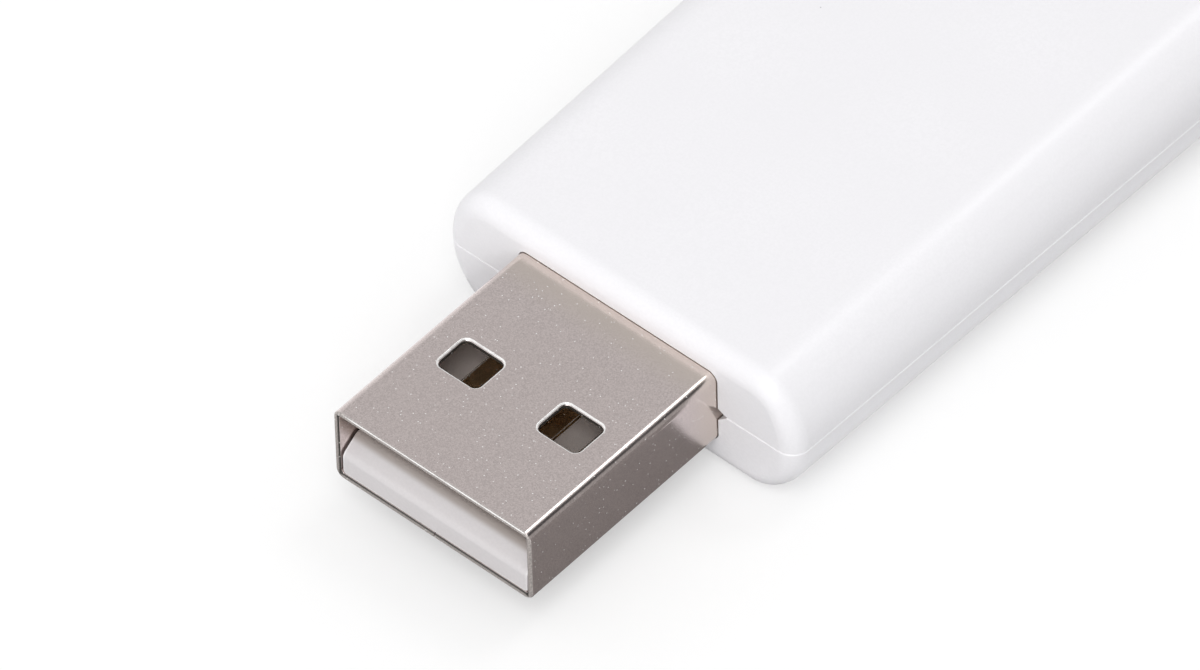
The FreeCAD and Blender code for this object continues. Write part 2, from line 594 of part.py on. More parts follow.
def plug_shell():
    """Steel sheet folded into a sleeve, with windows, a seam below and two board legs."""
    body = plug_body("plug_shell")
    half = "(sizes.plug_width / 2)"
    sheet_metal = "sizes.sheet_thickness"
    length = "(sizes.plug_reach + sizes.plug_tail)"

    sleeve = new_sketch(body, "shell_sleeve", "XZ_Plane")
    rounded_rectangle(sleeve, f"-1 * {half}", half, "0", "sizes.plug_height", "sizes.plug_corner")
    inner = f"({half} - {sheet_metal})"
    inner_corner = f"max(sizes.plug_corner - {sheet_metal}; sizes.plug_corner / 4)"
    ceiling = f"(sizes.plug_height - {sheet_metal})"
    rounded_rectangle(sleeve, f"-1 * {inner}", inner, sheet_metal, ceiling, inner_corner)
    tube = pad(sleeve, length)
    mouth = dress(
        "Chamfer", tube, "shell_mouth", "sizes.mouth_bevel",
        lambda box: box.YMax < ON_PLANE,
    )

    windows = new_sketch(body, "shell_windows", "XY_Plane", f"sizes.plug_height + {PAST}")
    near = "sizes.window_inset"
    far = "(sizes.window_inset + sizes.window_length)"
    outer_edge = "(sizes.window_offset + sizes.window_width)"
    corner = "sizes.window_corner"
    rounded_rectangle(windows, "sizes.window_offset", outer_edge, near, far, corner)
    rounded_rectangle(windows, f"-1 * {outer_edge}", "-1 * sizes.window_offset", near, far, corner)
    cut = pocket(windows, f"sizes.plug_height + 2 * {PAST}", along=-1)
    top = value("sizes.plug_height") - ON_PLANE
    beyond = value(far) + PAST
    dress(
        "Chamfer", cut, "shell_window_rims", "sizes.window_bevel",
        lambda box: box.ZMin > top and box.YMin > PAST and box.YMax < beyond,
    )

    seam = new_sketch(body, "shell_seam", "XY_Plane", f"-1 * {PAST}")
    rectangle(seam, "-1 * sizes.seam_width / 2", "sizes.seam_width / 2", f"-1 * {PAST}", f"{length} + {PAST}")
    pocket(seam, f"{PAST} + 2 * {sheet_metal}")

    # A strap runs back from each side wall, and a leg drops from it through the board.
    legs = new_sketch(body, "shell_legs", "YZ_Plane", half)
    strap_low = f"({BOARD_TOP} - sizes.plug_rise)"
    strap_high = f"({strap_low} + sizes.leg_shoulder)"
    strap_end = f"({length} + sizes.leg_reach)"
    leg_front = f"({strap_end} - sizes.leg_width)"
    leg_end = f"({strap_low} - sizes.board_thickness - sizes.leg_tip)"
    outline = [
        (f"{length} - sizes.sheet_thickness", strap_low),
        (leg_front, strap_low),
        (leg_front, leg_end),
        (strap_end, leg_end),
        (strap_end, strap_high),
        (f"{length} - sizes.sheet_thickness", strap_high),
    ]
    polygon(legs, outline)
    one_side = pad(legs, sheet_metal, along=-1)
    pair = body.newObject("PartDesign::Mirrored", "shell_leg_pair")
    pair.Originals = [one_side]
    pair.MirrorPlane = (origin_feature(body, "YZ_Plane"), [""])
    body.Tip = pair
    return body


def plug_insulator():
    """Moulded block that fills the lower half of the shell, with four contact grooves."""
    body = plug_body("plug_insulator")
    inset = "(sizes.sheet_thickness + sizes.insulator_gap)"
    half = f"(sizes.plug_width / 2 - {inset})"
    front = "sizes.insulator_recess"
    back = f"({front} + sizes.insulator_length)"
    face = "sizes.insulator_top"

    block = new_sketch(body, "insulator_block", "XZ_Plane", front)
    corner = "max(sizes.plug_corner - sizes.sheet_thickness; sizes.plug_corner / 4)"
    roof = f"(sizes.plug_height - {inset})"
    rounded_rectangle(block, f"-1 * {half}", half, "sizes.sheet_thickness", roof, corner)
    pad(block, "sizes.insulator_length")

    # The space for the socket's tongue leaves a shelf with a sloped and rounded nose.
    cavity = new_sketch(body, "insulator_cavity", "YZ_Plane")
    nose = f"({face} - sizes.nose_rise)"
    outline = [
        (f"{front} - {PAST}", f"{roof} + {PAST}"),
        (f"{front} - {PAST}", nose),
        (front, nose),
        (f"{front} + sizes.nose_length", face),
        ("sizes.cavity_depth", face),
        ("sizes.cavity_depth", f"{roof} + {PAST}"),
    ]
    polygon(cavity, outline)
    shelf = pocket(cavity, "sizes.plug_width", both_sides=True)
    nose_end = value(f"{front} + sizes.nose_length") + ON_PLANE
    nose_level = value(nose) - ON_PLANE
    dress(
        "Fillet", shelf, "insulator_nose", "sizes.nose_round",
        lambda box: box.XLength > PAST and box.YMax < nose_end and box.ZMin > nose_level,
    )

    for name, start, offset in CONTACT_PAIRS:
        groove = new_sketch(body, f"{name}_grooves", "XZ_Plane", f"{start} - sizes.contact_gap")
        reach = "(sizes.contact_width / 2 + sizes.contact_gap)"
        low = f"({face} + sizes.contact_proud - sizes.contact_thickness)"
        high = f"({face} + sizes.contact_proud + sizes.contact_gap)"
        for sign in ("", "-1 * "):
            middle = f"{sign}{offset}"
            rectangle(groove, f"{middle} - {reach}", f"{middle} + {reach}", low, high)
        pocket(groove, back)
    return body


def contact(label, start, across):
    """Gilded strip that lies in its groove, bends down behind it and ends in a flat foot."""
    body = plug_body(label, across)
    strip = "sizes.contact_thickness"
    top = "(sizes.insulator_top + sizes.contact_proud)"
    bend = "(sizes.insulator_recess + sizes.insulator_length + sizes.board_front_gap)"
    foot_top = f"({BOARD_TOP} - sizes.plug_rise + {strip})"
    foot_start = f"({bend} + sizes.contact_slope)"
    foot_end = f"({foot_start} + sizes.contact_foot)"
    upper = [(start, top), (bend, top), (foot_start, foot_top), (foot_end, foot_top)]
    lower = [(along, f"{up} - {strip}") for along, up in reversed(upper)]
    profile = new_sketch(body, f"{label}_profile", "YZ_Plane")
    polygon(profile, upper + lower)
    strip_pad = pad(profile, "sizes.contact_width", both_sides=True)
    leading = value(start) + ON_PLANE
    upper_level = value(top) - ON_PLANE
    dress(
        "Chamfer", strip_pad, f"{label}_tip", f"{strip} / 2",
        lambda box: box.YMax < leading and box.ZMin > upper_level,
    )
    return body


# Boards
#
# Each board's frame is the middle of its front edge, on its upper face.

def main_board():
    """Printed circuit board with slots for the plug legs and holes for the pins."""
    body = new_body("main_board", "0", BOARD_Y, BOARD_TOP)
    half = f"({BOARD_WIDTH} / 2)"
    plan = new_sketch(body, "board_plan", "XY_Plane")
    rounded_rectangle(plan, f"-1 * {half}", half, "0", BOARD_LENGTH, "sizes.board_corner")
    pad(plan, "sizes.board_thickness", along=-1)

    slots = new_sketch(body, "board_slots", "XY_Plane", str(PAST))
    outer = "(sizes.plug_width / 2 + sizes.leg_gap)"
    inner = "(sizes.plug_width / 2 - sizes.sheet_thickness - sizes.leg_gap)"
    back = "(sizes.leg_reach - sizes.board_front_gap + sizes.leg_gap)"
    front = f"({back} - sizes.leg_width - 2 * sizes.leg_gap)"
    rectangle(slots, inner, outer, front, back)
    rectangle(slots, f"-1 * {outer}", f"-1 * {inner}", front, back)
    pocket(slots, f"sizes.board_thickness + 2 * {PAST}", along=-1)

    holes = new_sketch(body, "board_holes", "XY_Plane", str(PAST))
    for sign in ("", "-1 * "):
        circle(holes, f"{sign}sizes.pin_offset", "sizes.pin_inset", PIN_HOLE_RADIUS)
    pocket(holes, f"sizes.board_thickness + 2 * {PAST}", along=-1)
    return body


def module_body(label, across="0", along="0", up="0"):
    """A body in the frame of the module's upper face."""
    return new_body(label, across, f"{BOARD_Y} + {MODULE_START} + {along}", f"{MODULE_TOP} + {up}")


def radio_module_board():
    """Small board with a row of half-round solder pads along each side."""
    body = module_body("radio_module_board")
    half = "(sizes.module_width / 2)"
    plan = new_sketch(body, "module_plan", "XY_Plane")
    rectangle(plan, f"-1 * {half}", half, "0", "sizes.module_length")
    pad(plan, "sizes.module_thickness", along=-1)

    pads = new_sketch(body, "module_pads", "XY_Plane", str(PAST))
    for sign in ("", "-1 * "):
        circle(pads, f"{sign}{half}", "sizes.first_pad_inset", "sizes.pad_radius")
    first_pads = pocket(pads, f"sizes.module_thickness + 2 * {PAST}", along=-1)
    room = value("(sizes.shield_length - sizes.first_pad_inset) / sizes.pad_pitch")
    row_of(first_pads, "Y_Axis", "sizes.pad_pitch", 1 + int(room))
    return body


def module_shield():
    """Drawn metal can, open below, with small openings at its foot."""
    body = module_body("module_shield", along="sizes.shield_inset")
    half = "(sizes.shield_width / 2)"
    corner = "sizes.shield_round"
    plan = new_sketch(body, "shield_plan", "XY_Plane")
    rounded_rectangle(plan, f"-1 * {half}", half, "0", "sizes.shield_length", corner)
    block = pad(plan, "sizes.shield_height")
    top = value("sizes.shield_height") - ON_PLANE
    dress("Chamfer", block, "shield_edge", "sizes.shield_bevel", lambda box: box.ZMin > top)

    hollow = new_sketch(body, "shield_hollow", "XY_Plane", f"-1 * {PAST}")
    wall = "sizes.shield_wall"
    inner_corner = f"max({corner} - {wall}; {corner} / 4)"
    inner = f"({half} - {wall})"
    rounded_rectangle(hollow, f"-1 * {inner}", inner, wall, f"sizes.shield_length - {wall}", inner_corner)
    pocket(hollow, f"{PAST} + sizes.shield_height - {wall}")

    vents = new_sketch(body, "shield_vents", "YZ_Plane")
    vent = "sizes.shield_vent"
    for third in (1, 2):
        middle = f"(sizes.shield_length * {third} / 3)"
        low = f"-1 * {PAST}"
        rectangle(vents, f"{middle} - {vent} / 2", f"{middle} + {vent} / 2", low, f"{vent} / 3")
    pocket(vents, "sizes.module_width", both_sides=True)
    return body


def radio_chip():
    """Flat square chip with a bevelled top."""
    body = module_body("radio_chip", along=CHIP_START)
    half = "(sizes.chip_side / 2)"
    plan = new_sketch(body, "chip_plan", "XY_Plane")
    rectangle(plan, f"-1 * {half}", half, "0", "sizes.chip_side")
    block = pad(plan, "sizes.chip_height")
    top = value("sizes.chip_height") - ON_PLANE
    dress("Chamfer", block, "chip_bevel_edge", "sizes.chip_bevel", lambda box: box.ZMin > top)
    return body


def crystal():
    """Metal-lidded crystal behind the radio chip."""
    body = module_body("crystal", along=f"{CHIP_START} + sizes.chip_side + sizes.crystal_space")
    half = "(sizes.crystal_length / 2)"
    plan = new_sketch(body, "crystal_plan", "XY_Plane")
    base = "(sizes.crystal_height / 2)"
    rectangle(plan, f"-1 * {half}", half, "0", "sizes.crystal_width")
    pad(plan, base)
    lid = new_sketch(body, "crystal_lid", "XY_Plane", f"{base} - sizes.end_cap_wrap")
    rim = "sizes.chip_bevel"
    rectangle(lid, f"{rim} - {half}", f"{half} - {rim}", rim, f"sizes.crystal_width - {rim}")
    pad(lid, f"{base} + sizes.end_cap_wrap")
    return body


def antenna_trace():
    """Copper meander that runs to and fro across the module's back end."""
    along = "sizes.module_length - sizes.antenna_inset - sizes.antenna_depth"
    width = "sizes.trace_width"
    pitch = "sizes.trace_pitch"
    depth = "sizes.antenna_depth"
    first = f"(0 - {pitch} * {ANTENNA_LEGS - 1} / 2 - {width} / 2)"
    second = f"({first} + {pitch})"
    body = module_body("antenna_trace", along=along)

    # Straight legs, then the links that join them in turn at the back and at the front.
    legs = new_sketch(body, "antenna_legs", "XY_Plane")
    rectangle(legs, first, f"{first} + {width}", "0", depth)
    row_of(pad(legs, "sizes.trace_height"), "X_Axis", pitch, ANTENNA_LEGS)
    back_links = new_sketch(body, "antenna_back_links", "XY_Plane")
    rectangle(back_links, first, f"{second} + {width}", f"{depth} - {width}", depth)
    row_of(pad(back_links, "sizes.trace_height"), "X_Axis", f"2 * {pitch}", ANTENNA_LEGS // 2)
    front_links = new_sketch(body, "antenna_front_links", "XY_Plane")
    rectangle(front_links, second, f"{second} + {pitch} + {width}", "0", width)
    row_of(pad(front_links, "sizes.trace_height"), "X_Axis", f"2 * {pitch}", (ANTENNA_LEGS - 1) // 2)
    return body


# Small parts on the main board

def on_board(label):
    """A body whose place on the main board is given in the sheet under its own name."""
    if label in ALONG_THE_EDGE:
        across = f"sizes.lamp_inset - {BOARD_WIDTH} / 2"
    else:
        across = f"sizes.{label}_across"
    return new_body(label, across, f"{BOARD_Y} + sizes.{label}_along", BOARD_TOP)


def chip_part(label, kind):
    """Ceramic block with a metal cap wrapped round each end."""
    body = on_board(label)
    half_length = f"(sizes.{kind}_length / 2)"
    half_width = f"(sizes.{kind}_width / 2)"
    height = f"sizes.{kind}_height"
    wrap = "sizes.end_cap_wrap"
    block = new_sketch(body, f"{label}_block", "XY_Plane", wrap)
    end = f"({half_length} - {wrap})"
    side = f"({half_width} - {wrap})"
    rectangle(block, f"-1 * {end}", end, f"-1 * {side}", side)
    pad(block, f"{height} - 2 * {wrap}")
    caps = new_sketch(body, f"{label}_caps", "XY_Plane")
    cap_start = f"({half_length} - sizes.end_cap)"
    rectangle(caps, cap_start, half_length, f"-1 * {half_width}", half_width)
    rectangle(caps, f"-1 * {half_length}", f"-1 * {cap_start}", f"-1 * {half_width}", half_width)
    pad(caps, height)
    return body


def indicator_led():
    """Small lamp: a flat base with a clear block on it."""
    body = on_board("indicator_led")
    half_length = "(sizes.small_chip_length / 2)"
    half_width = "(sizes.small_chip_width / 2)"
    base = new_sketch(body, "led_base_plan", "XY_Plane")
    rectangle(base, f"-1 * {half_length}", half_length, f"-1 * {half_width}", half_width)
    pad(base, "sizes.led_base")
    lens = new_sketch(body, "led_lens_plan", "XY_Plane", "sizes.led_base")
    reach = f"({half_length} - sizes.led_lens_inset)"
    rectangle(lens, f"-1 * {reach}", reach, f"-1 * {half_width}", half_width)
    block = pad(lens, "sizes.led_lens_height")
    top = value("sizes.led_base + sizes.led_lens_height") - ON_PLANE
    dress("Chamfer", block, "led_lens_edge", "sizes.case_bevel / 2", lambda box: box.ZMin > top)
    return body


def leaded_package(label, kind, leads):
    """Moulded case with bent leads that stand on the board at its two long sides."""
    body = on_board(label)
    half_length = f"(sizes.{kind}_length / 2)"
    half_width = f"(sizes.{kind}_width / 2)"
    case = new_sketch(body, f"{label}_case", "XY_Plane", "sizes.case_standoff")
    rectangle(case, f"-1 * {half_length}", half_length, f"-1 * {half_width}", half_width)
    block = pad(case, f"sizes.{kind}_height - sizes.case_standoff")
    top = value(f"sizes.{kind}_height") - ON_PLANE
    dress("Chamfer", block, f"{label}_top", "sizes.case_bevel", lambda box: box.ZMin > top)

    # One strip makes a pair of leads: foot, bend, through the case, bend, foot.
    strip = "sizes.lead_thickness"
    exit_level = f"(sizes.{kind}_height / 2)"
    shoulder = f"({half_width} + sizes.lead_reach / 3)"
    ankle = f"({half_width} + sizes.lead_reach / 2)"
    toe = f"({half_width} + sizes.lead_reach)"
    one_side = [
        (f"({shoulder} - {strip})", exit_level),
        (f"({ankle} - {strip})", "0"),
        (toe, "0"),
        (toe, strip),
        (ankle, strip),
        (shoulder, f"{exit_level} + {strip}"),
    ]
    other_side = [(f"-1 * {across}", up) for across, up in reversed(one_side)]
    start = f"(0 - sizes.lead_pitch * {leads - 1} / 2 - sizes.lead_width / 2)"
    profile = new_sketch(body, f"{label}_lead", "YZ_Plane", start)
    polygon(profile, one_side + other_side)
    pair = pad(profile, "sizes.lead_width")
    if leads > 1:
        row_of(pair, "X_Axis", "sizes.lead_pitch", leads)
    return body


def check(bodies):
    """Stop if a feature failed, a solid is not sound or a cut removed nothing."""
    for item in doc.Objects:
        if "Invalid" in item.State or "Error" in item.State:
            raise RuntimeError(f"{item.Name} failed: {item.State}")
    for body in bodies:
        shape = body.Shape
        if shape.isNull() or not shape.isValid() or len(shape.Solids) != 1:
            raise RuntimeError(f"{body.Label} is not one sound solid")
        before = 0.0
        for feature in body.Group:
            if not feature.isDerivedFrom("PartDesign::Feature"):
                continue
            volume = feature.Shape.Volume
            if feature.TypeId in CUTTING and volume >= before:
                raise RuntimeError(f"{feature.Name} cut nothing")
            before = volume


BODIES = [
    top_cover(),
    bottom_cover(),
    plug_shell(),
    plug_insulator(),
    contact("contact_power", "sizes.outer_contact_start", "sizes.outer_contact_offset"),
    contact("contact_data_minus", "sizes.inner_contact_start", "sizes.inner_contact_offset"),
    contact("contact_data_plus", "sizes.inner_contact_start", "-1 * sizes.inner_contact_offset"),
    contact("contact_ground", "sizes.outer_contact_start", "-1 * sizes.outer_contact_offset"),
    main_board(),
    radio_module_board(),
    module_shield(),
    radio_chip(),
    crystal(),
    antenna_trace(),
    chip_part("input_fuse", "fuse_case"),
    leaded_package("surge_diode", "diode_case", 1),
    chip_part("input_capacitor", "capacitor_case"),
    leaded_package("voltage_regulator", "regulator_case", 3),
    chip_part("output_capacitor", "capacitor_case"),
    chip_part("led_resistor", "small_chip"),
    indicator_led(),
]

doc.recompute()
check(BODIES)
os.makedirs("parts", exist_ok=True)
for body in BODIES:
    body.Shape.exportStep(f"parts/{body.Label}.step")
    print(f"{body.Label}: {body.Shape.Volume:.2f} cubic mm")
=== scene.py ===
# %% [markdown]
# # A small white signal repeater with a USB plug
#
# The object is a moulded white stick, about as long as a thumb, with a folded steel plug at
# one end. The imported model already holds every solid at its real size, so this script does
# not place or resize anything. It gives the solids their finish, rounds the edges of the two
# pieces that are seen closest, and sets up the floor, the lamps and the camera.
#
# All lengths are in metres. X runs across the stick, Y from the plug's mouth to the back, Z up.

# %% Load the solids
import math

import bmesh
import bpy
from mathutils import Matrix, Vector


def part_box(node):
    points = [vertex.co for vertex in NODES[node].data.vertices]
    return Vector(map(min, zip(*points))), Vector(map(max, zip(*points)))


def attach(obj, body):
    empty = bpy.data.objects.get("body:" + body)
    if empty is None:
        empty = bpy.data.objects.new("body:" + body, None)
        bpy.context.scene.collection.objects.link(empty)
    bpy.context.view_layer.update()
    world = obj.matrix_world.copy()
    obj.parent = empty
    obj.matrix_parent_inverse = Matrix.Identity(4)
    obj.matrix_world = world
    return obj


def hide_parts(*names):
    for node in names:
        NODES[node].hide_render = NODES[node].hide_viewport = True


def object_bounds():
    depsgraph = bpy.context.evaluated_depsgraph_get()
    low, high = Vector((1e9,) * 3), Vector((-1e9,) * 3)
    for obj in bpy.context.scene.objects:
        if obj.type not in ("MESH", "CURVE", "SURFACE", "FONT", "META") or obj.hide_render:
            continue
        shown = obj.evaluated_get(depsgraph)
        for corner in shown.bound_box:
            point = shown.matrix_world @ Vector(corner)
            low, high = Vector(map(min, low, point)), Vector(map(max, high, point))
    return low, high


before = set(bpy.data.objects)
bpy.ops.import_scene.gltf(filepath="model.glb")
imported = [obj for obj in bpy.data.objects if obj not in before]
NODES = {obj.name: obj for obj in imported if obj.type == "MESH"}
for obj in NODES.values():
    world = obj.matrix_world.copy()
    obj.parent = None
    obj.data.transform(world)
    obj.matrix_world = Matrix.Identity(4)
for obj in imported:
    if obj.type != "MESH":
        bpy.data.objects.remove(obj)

MM = 0.001
cad_low, cad_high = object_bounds()
print(len(NODES), "solids,", [round(x / MM, 2) for x in cad_high - cad_low], "mm overall")

# %% [markdown]
# ## Helpers for shader nodes
#
# A material in Blender is a graph of nodes. Building one by script takes two steps for each
# node: make it, then link its sockets. These helpers do both in one line. A socket is set
# either to a plain value or, when it is given another node's output, by a link.

# %% Helpers for shader nodes
def put(socket, given):
    """Set a socket to a value, or link an output to it."""
    if isinstance(given, bpy.types.NodeSocket):
        socket.id_data.links.new(given, socket)
    elif given is not None:
        socket.default_value = given


def add(tree, kind, settings=None, **inputs):
    """A node of a kind, with its settings and its inputs; an input's name has _ for a space."""
    node = tree.nodes.new(kind)
    for name, setting in (settings or {}).items():
        setattr(node, name, setting)
    for name, given in inputs.items():
        put(node.inputs[name.replace("_", " ")], given)
    return node


def calc(tree, operation, first, second=None, third=None, clamp=False):
    """The result of one Math node."""
    node = tree.nodes.new("ShaderNodeMath")
    node.operation = operation
    node.use_clamp = clamp
    for socket, given in zip(node.inputs, (first, second, third)):
        put(socket, given)
    return node.outputs[0]


# %% [markdown]
# ## Masks and patterns
#
# Most of a finish is one colour laid over another where a mask says so. A mask is a value from
# 0 to 1, such as how near an edge a point lies. These helpers mix by a mask, stretch a value
# into a mask, and give the places and the noise that masks are made from.

# %% Masks and patterns
def mix_colour(tree, factor, first, second):
    """The result of one Mix Color node."""
    node = tree.nodes.new("ShaderNodeMix")
    node.data_type = "RGBA"
    colours = [s for s in node.inputs if s.type == "RGBA"]
    put(node.inputs["Factor"], factor)
    put(colours[0], first)
    put(colours[1], second)
    return next(s for s in node.outputs if s.type == "RGBA")


def mix_value(tree, factor, first, second):
    """A value between two others."""
    node = tree.nodes.new("ShaderNodeMix")
    put(node.inputs["Factor"], factor)
    numbers = [s for s in node.inputs if s.name in ("A", "B") and s.type == "VALUE"]
    put(numbers[0], first)
    put(numbers[1], second)
    return node.outputs[0]


def remap(tree, given, low, high, to_low=0.0, to_high=1.0):
    """A value carried from one range to another, smoothly and within its ends."""
    node = tree.nodes.new("ShaderNodeMapRange")
    node.interpolation_type = "SMOOTHSTEP"
    put(node.inputs["Value"], given)
    put(node.inputs["From Min"], low)
    put(node.inputs["From Max"], high)
    put(node.inputs["To Min"], to_low)
    put(node.inputs["To Max"], to_high)
    return node.outputs["Result"]


def place_on(tree):
    """Object coordinates: metres in the object's own frame, the same on every piece."""
    return tree.nodes.new("ShaderNodeTexCoord").outputs["Object"]


def noise(tree, place, size, detail=3.0):
    """Noise with grains of about a given size in metres, from 0 to 1."""
    node = add(
        tree, "ShaderNodeTexNoise", Vector=place,
        Scale=1.0 / size, Detail=detail, Roughness=0.55)
    return node.outputs[0]


# %% [markdown]
# ## Materials and colours
#
# A colour read from a screen can't go into a shader as it is. Screens store it in steps that
# the eye sees as even, while a shader counts light, so `srgb` turns the one into the other.
# `paint` gives a piece its materials; a piece has more than one when its faces differ.

# %% Materials and colours
def new_material(name):
    """An empty material with a Principled shader, and its node tree."""
    material = bpy.data.materials.new(name)
    material.use_nodes = True
    tree = material.node_tree
    shader = next(n for n in tree.nodes if n.type == "BSDF_PRINCIPLED")
    return material, tree, shader


def paint(materials, *names):
    """Give pieces their materials, in the order of their faces' material numbers."""
    for name in names:
        slots = SHOWN[name].data.materials
        for number, material in enumerate(materials):
            if number < len(slots):
                slots[number] = material
            else:
                slots.append(material)


def srgb(red, green, blue):
    """A colour as read from a screen, 0 to 255, in the linear values that a shader takes."""
    shares = [level / 255 for level in (red, green, blue)]
    linear = [s / 12.92 if s <= 0.04 else ((s + 0.055) / 1.055) ** 2.4 for s in shares]
    return (*linear, 1.0)


def scaled(colour, share):
    """A colour made darker or lighter by a share."""
    return [level * share for level in colour[:3]] + [1]


print("the middle grey of a screen is", round(srgb(128, 128, 128)[0], 3), "of the light")

# %% [markdown]
# ## Round the sharp edges
#
# No real edge is perfectly sharp. A punched or folded sheet has edges rounded by a few
# hundredths of a millimetre, and each of them catches a thin line of light. The solids keep
# such edges sharp, so the pieces seen close get a copy with rounded ones.
#
# The copy starts from the solid's triangles. Their doubled corners are merged and the
# triangles of each flat face are joined into one, so that only real edges remain. Those are
# bevelled. Last, the normals are weighted by face area, which keeps the flat faces flat in
# shading and turns only the narrow bevels.

# %% Round the sharp edges
MERGE_WITHIN = 0.0005 * MM
FLAT_WITHIN = math.radians(0.3)
SHARP_FROM = math.radians(25)
SHADED_SHARP_FROM = math.radians(40)
ROUNDING_SEGMENTS = 3
FULL_WEIGHT = 100
# The piece that shows each solid: the solid itself, or a copy that stands for it.
SHOWN = dict(NODES)


def softened(node, width, kind_of_face=None):
    """Stand a copy with rounded edges in for a solid.

    Each face takes the material number that kind_of_face gives.
    """
    shape = bmesh.new()
    shape.from_mesh(NODES[node].data)
    bmesh.ops.remove_doubles(shape, verts=shape.verts, dist=MERGE_WITHIN)
    bmesh.ops.dissolve_limit(
        shape, angle_limit=FLAT_WITHIN, verts=shape.verts, edges=shape.edges)
    bmesh.ops.recalc_face_normals(shape, faces=shape.faces)
    edges = [e for e in shape.edges if e.is_manifold and e.calc_face_angle() > SHARP_FROM]
    bmesh.ops.bevel(
        shape, geom=edges, offset=width, offset_type="OFFSET", segments=ROUNDING_SEGMENTS,
        profile=0.5, affect="EDGES", clamp_overlap=True, material=-1, loop_slide=True,
        miter_outer="SHARP",
    )
    shape.normal_update()
    for face in shape.faces:
        face.smooth = True
        face.material_index = kind_of_face(face) if kind_of_face else 0
    mesh = bpy.data.meshes.new(f"{node}_softened")
    shape.to_mesh(mesh)
    shape.free()
    mesh.set_sharp_from_angle(angle=SHADED_SHARP_FROM)
    piece = bpy.data.objects.new(f"{node}_softened", mesh)
    bpy.context.scene.collection.objects.link(piece)
    weighted = piece.modifiers.new("weighted_normals", "WEIGHTED_NORMAL")
    weighted.keep_sharp = True
    weighted.weight = FULL_WEIGHT
    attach(piece, "root")
    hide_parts(node)
    SHOWN[node] = piece
    print(node, "edges rounded:", len(edges), "faces:", len(mesh.polygons))


# %% [markdown]
# ## The folded plug
#
# The shell is punched from plated strip and then folded, so its flat faces are bright nickel
# while the cut faces, round the windows and at the mouth, are bare and darker steel.
#
# Both are the same sheet and the same mesh. Each face only gets the number of its finish,
# found from where it lies and which way it points. Windows are measured from the middle of the
# shell, because it is the same on both sides.

# %% The folded plug
PLATED, CUT = range(2)
SHELL_ROUNDING, INSULATOR_ROUNDING = 0.03 * MM, 0.05 * MM
SHEET = 0.3 * MM
shell_low, shell_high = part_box("plug_shell")
WINDOW_MIDDLE = (3.035 * MM, shell_low.y + 6.14 * MM)
WINDOW_HALF = (1.235 * MM, 1.03 * MM)
WINDOW_CORNER = 0.35 * MM
WINDOW_MARGIN = 0.14 * MM


def sheet_finish(face):
    """Whether a face of the shell is plated or cut."""
    middle, normal = face.calc_center_median(), face.normal
    at_mouth = middle.y - shell_low.y < SHEET / 2
    in_window = (
        abs(abs(middle.x) - WINDOW_MIDDLE[0]) < WINDOW_HALF[0] + WINDOW_MARGIN
        and abs(middle.y - WINDOW_MIDDLE[1]) < WINDOW_HALF[1] + WINDOW_MARGIN
    )
    faces_forward, faces_sideways = normal.y < -0.5, abs(normal.z) < 0.5
    return CUT if at_mouth and faces_forward or in_window and faces_sideways else PLATED


softened("plug_shell", SHELL_ROUNDING, sheet_finish)
softened("plug_insulator", INSULATOR_ROUNDING)
finishes = [p.material_index for p in SHOWN["plug_shell"].data.polygons]
print("faces of the shell: plated", finishes.count(PLATED), "cut", finishes.count(CUT))

# %% [markdown]
# ## Node groups
#
# Some effects are needed in several materials. Each of these is a node group: a small graph
# with named inputs and outputs, built once and placed wherever it is needed, with values of
# its own. These two functions make a group and place it.

# %% Node groups
def new_group(name, inputs, outputs):
    """A node group with float sockets, and its input and output nodes."""
    group = bpy.data.node_groups.new(name, "ShaderNodeTree")
    for label, default in inputs:
        socket = group.interface.new_socket(
            label, in_out="INPUT", socket_type="NodeSocketFloat")
        socket.default_value = default
    for label in outputs:
        group.interface.new_socket(label, in_out="OUTPUT", socket_type="NodeSocketFloat")
    return group, group.nodes.new("NodeGroupInput"), group.nodes.new("NodeGroupOutput")


def use(tree, group, **inputs):
    """Place a group in a material and give back its outputs."""
    node = tree.nodes.new("ShaderNodeGroup")
    node.node_tree = group
    for name, given in inputs.items():
        put(node.inputs[name.replace("_", " ")], given)
    return node.outputs


# %% [markdown]
# ## Effects that several materials share
#
# - `fine_grain` is the unevenness that a moulded or plated surface has when it is seen close.
# - The edge group finds the edges, where the materials paint highlight lines. The Bevel node gives
#   the normal that a rounded edge would have, and where that differs from the true normal there is
#   an edge.
# - `specks` scatters small dots, such as dust, pits in the plating and painted glints.
#
# A Noise texture gives mostly values near 0.5. The two ranges below are those that nearly all
# of its values lie in, for the grain and for the slow patches, and `remap` stretches them.

# %% Effects that several materials share
GRAIN_RANGE, PATCH_RANGE = (0.35, 0.65), (0.3, 0.7)


def fine_grain_group():
    """Height of a fine grain, and a slow variation that roughness and colour can follow."""
    group, given, result = new_group(
        "fine_grain", (("Grain Size", 0.1 * MM), ("Patch Size", 4 * MM)), ("Height", "Patches"))
    place = place_on(group)
    grain = add(group, "ShaderNodeTexNoise", Vector=place, Detail=4.0, Roughness=0.6,
                Scale=calc(group, "DIVIDE", 1.0, given.outputs["Grain Size"]))
    patch = add(group, "ShaderNodeTexNoise", Vector=place, Detail=2.0, Roughness=0.5,
                Scale=calc(group, "DIVIDE", 1.0, given.outputs["Patch Size"]))
    put(result.inputs["Height"], grain.outputs[0])
    put(result.inputs["Patches"], patch.outputs[0])
    return group


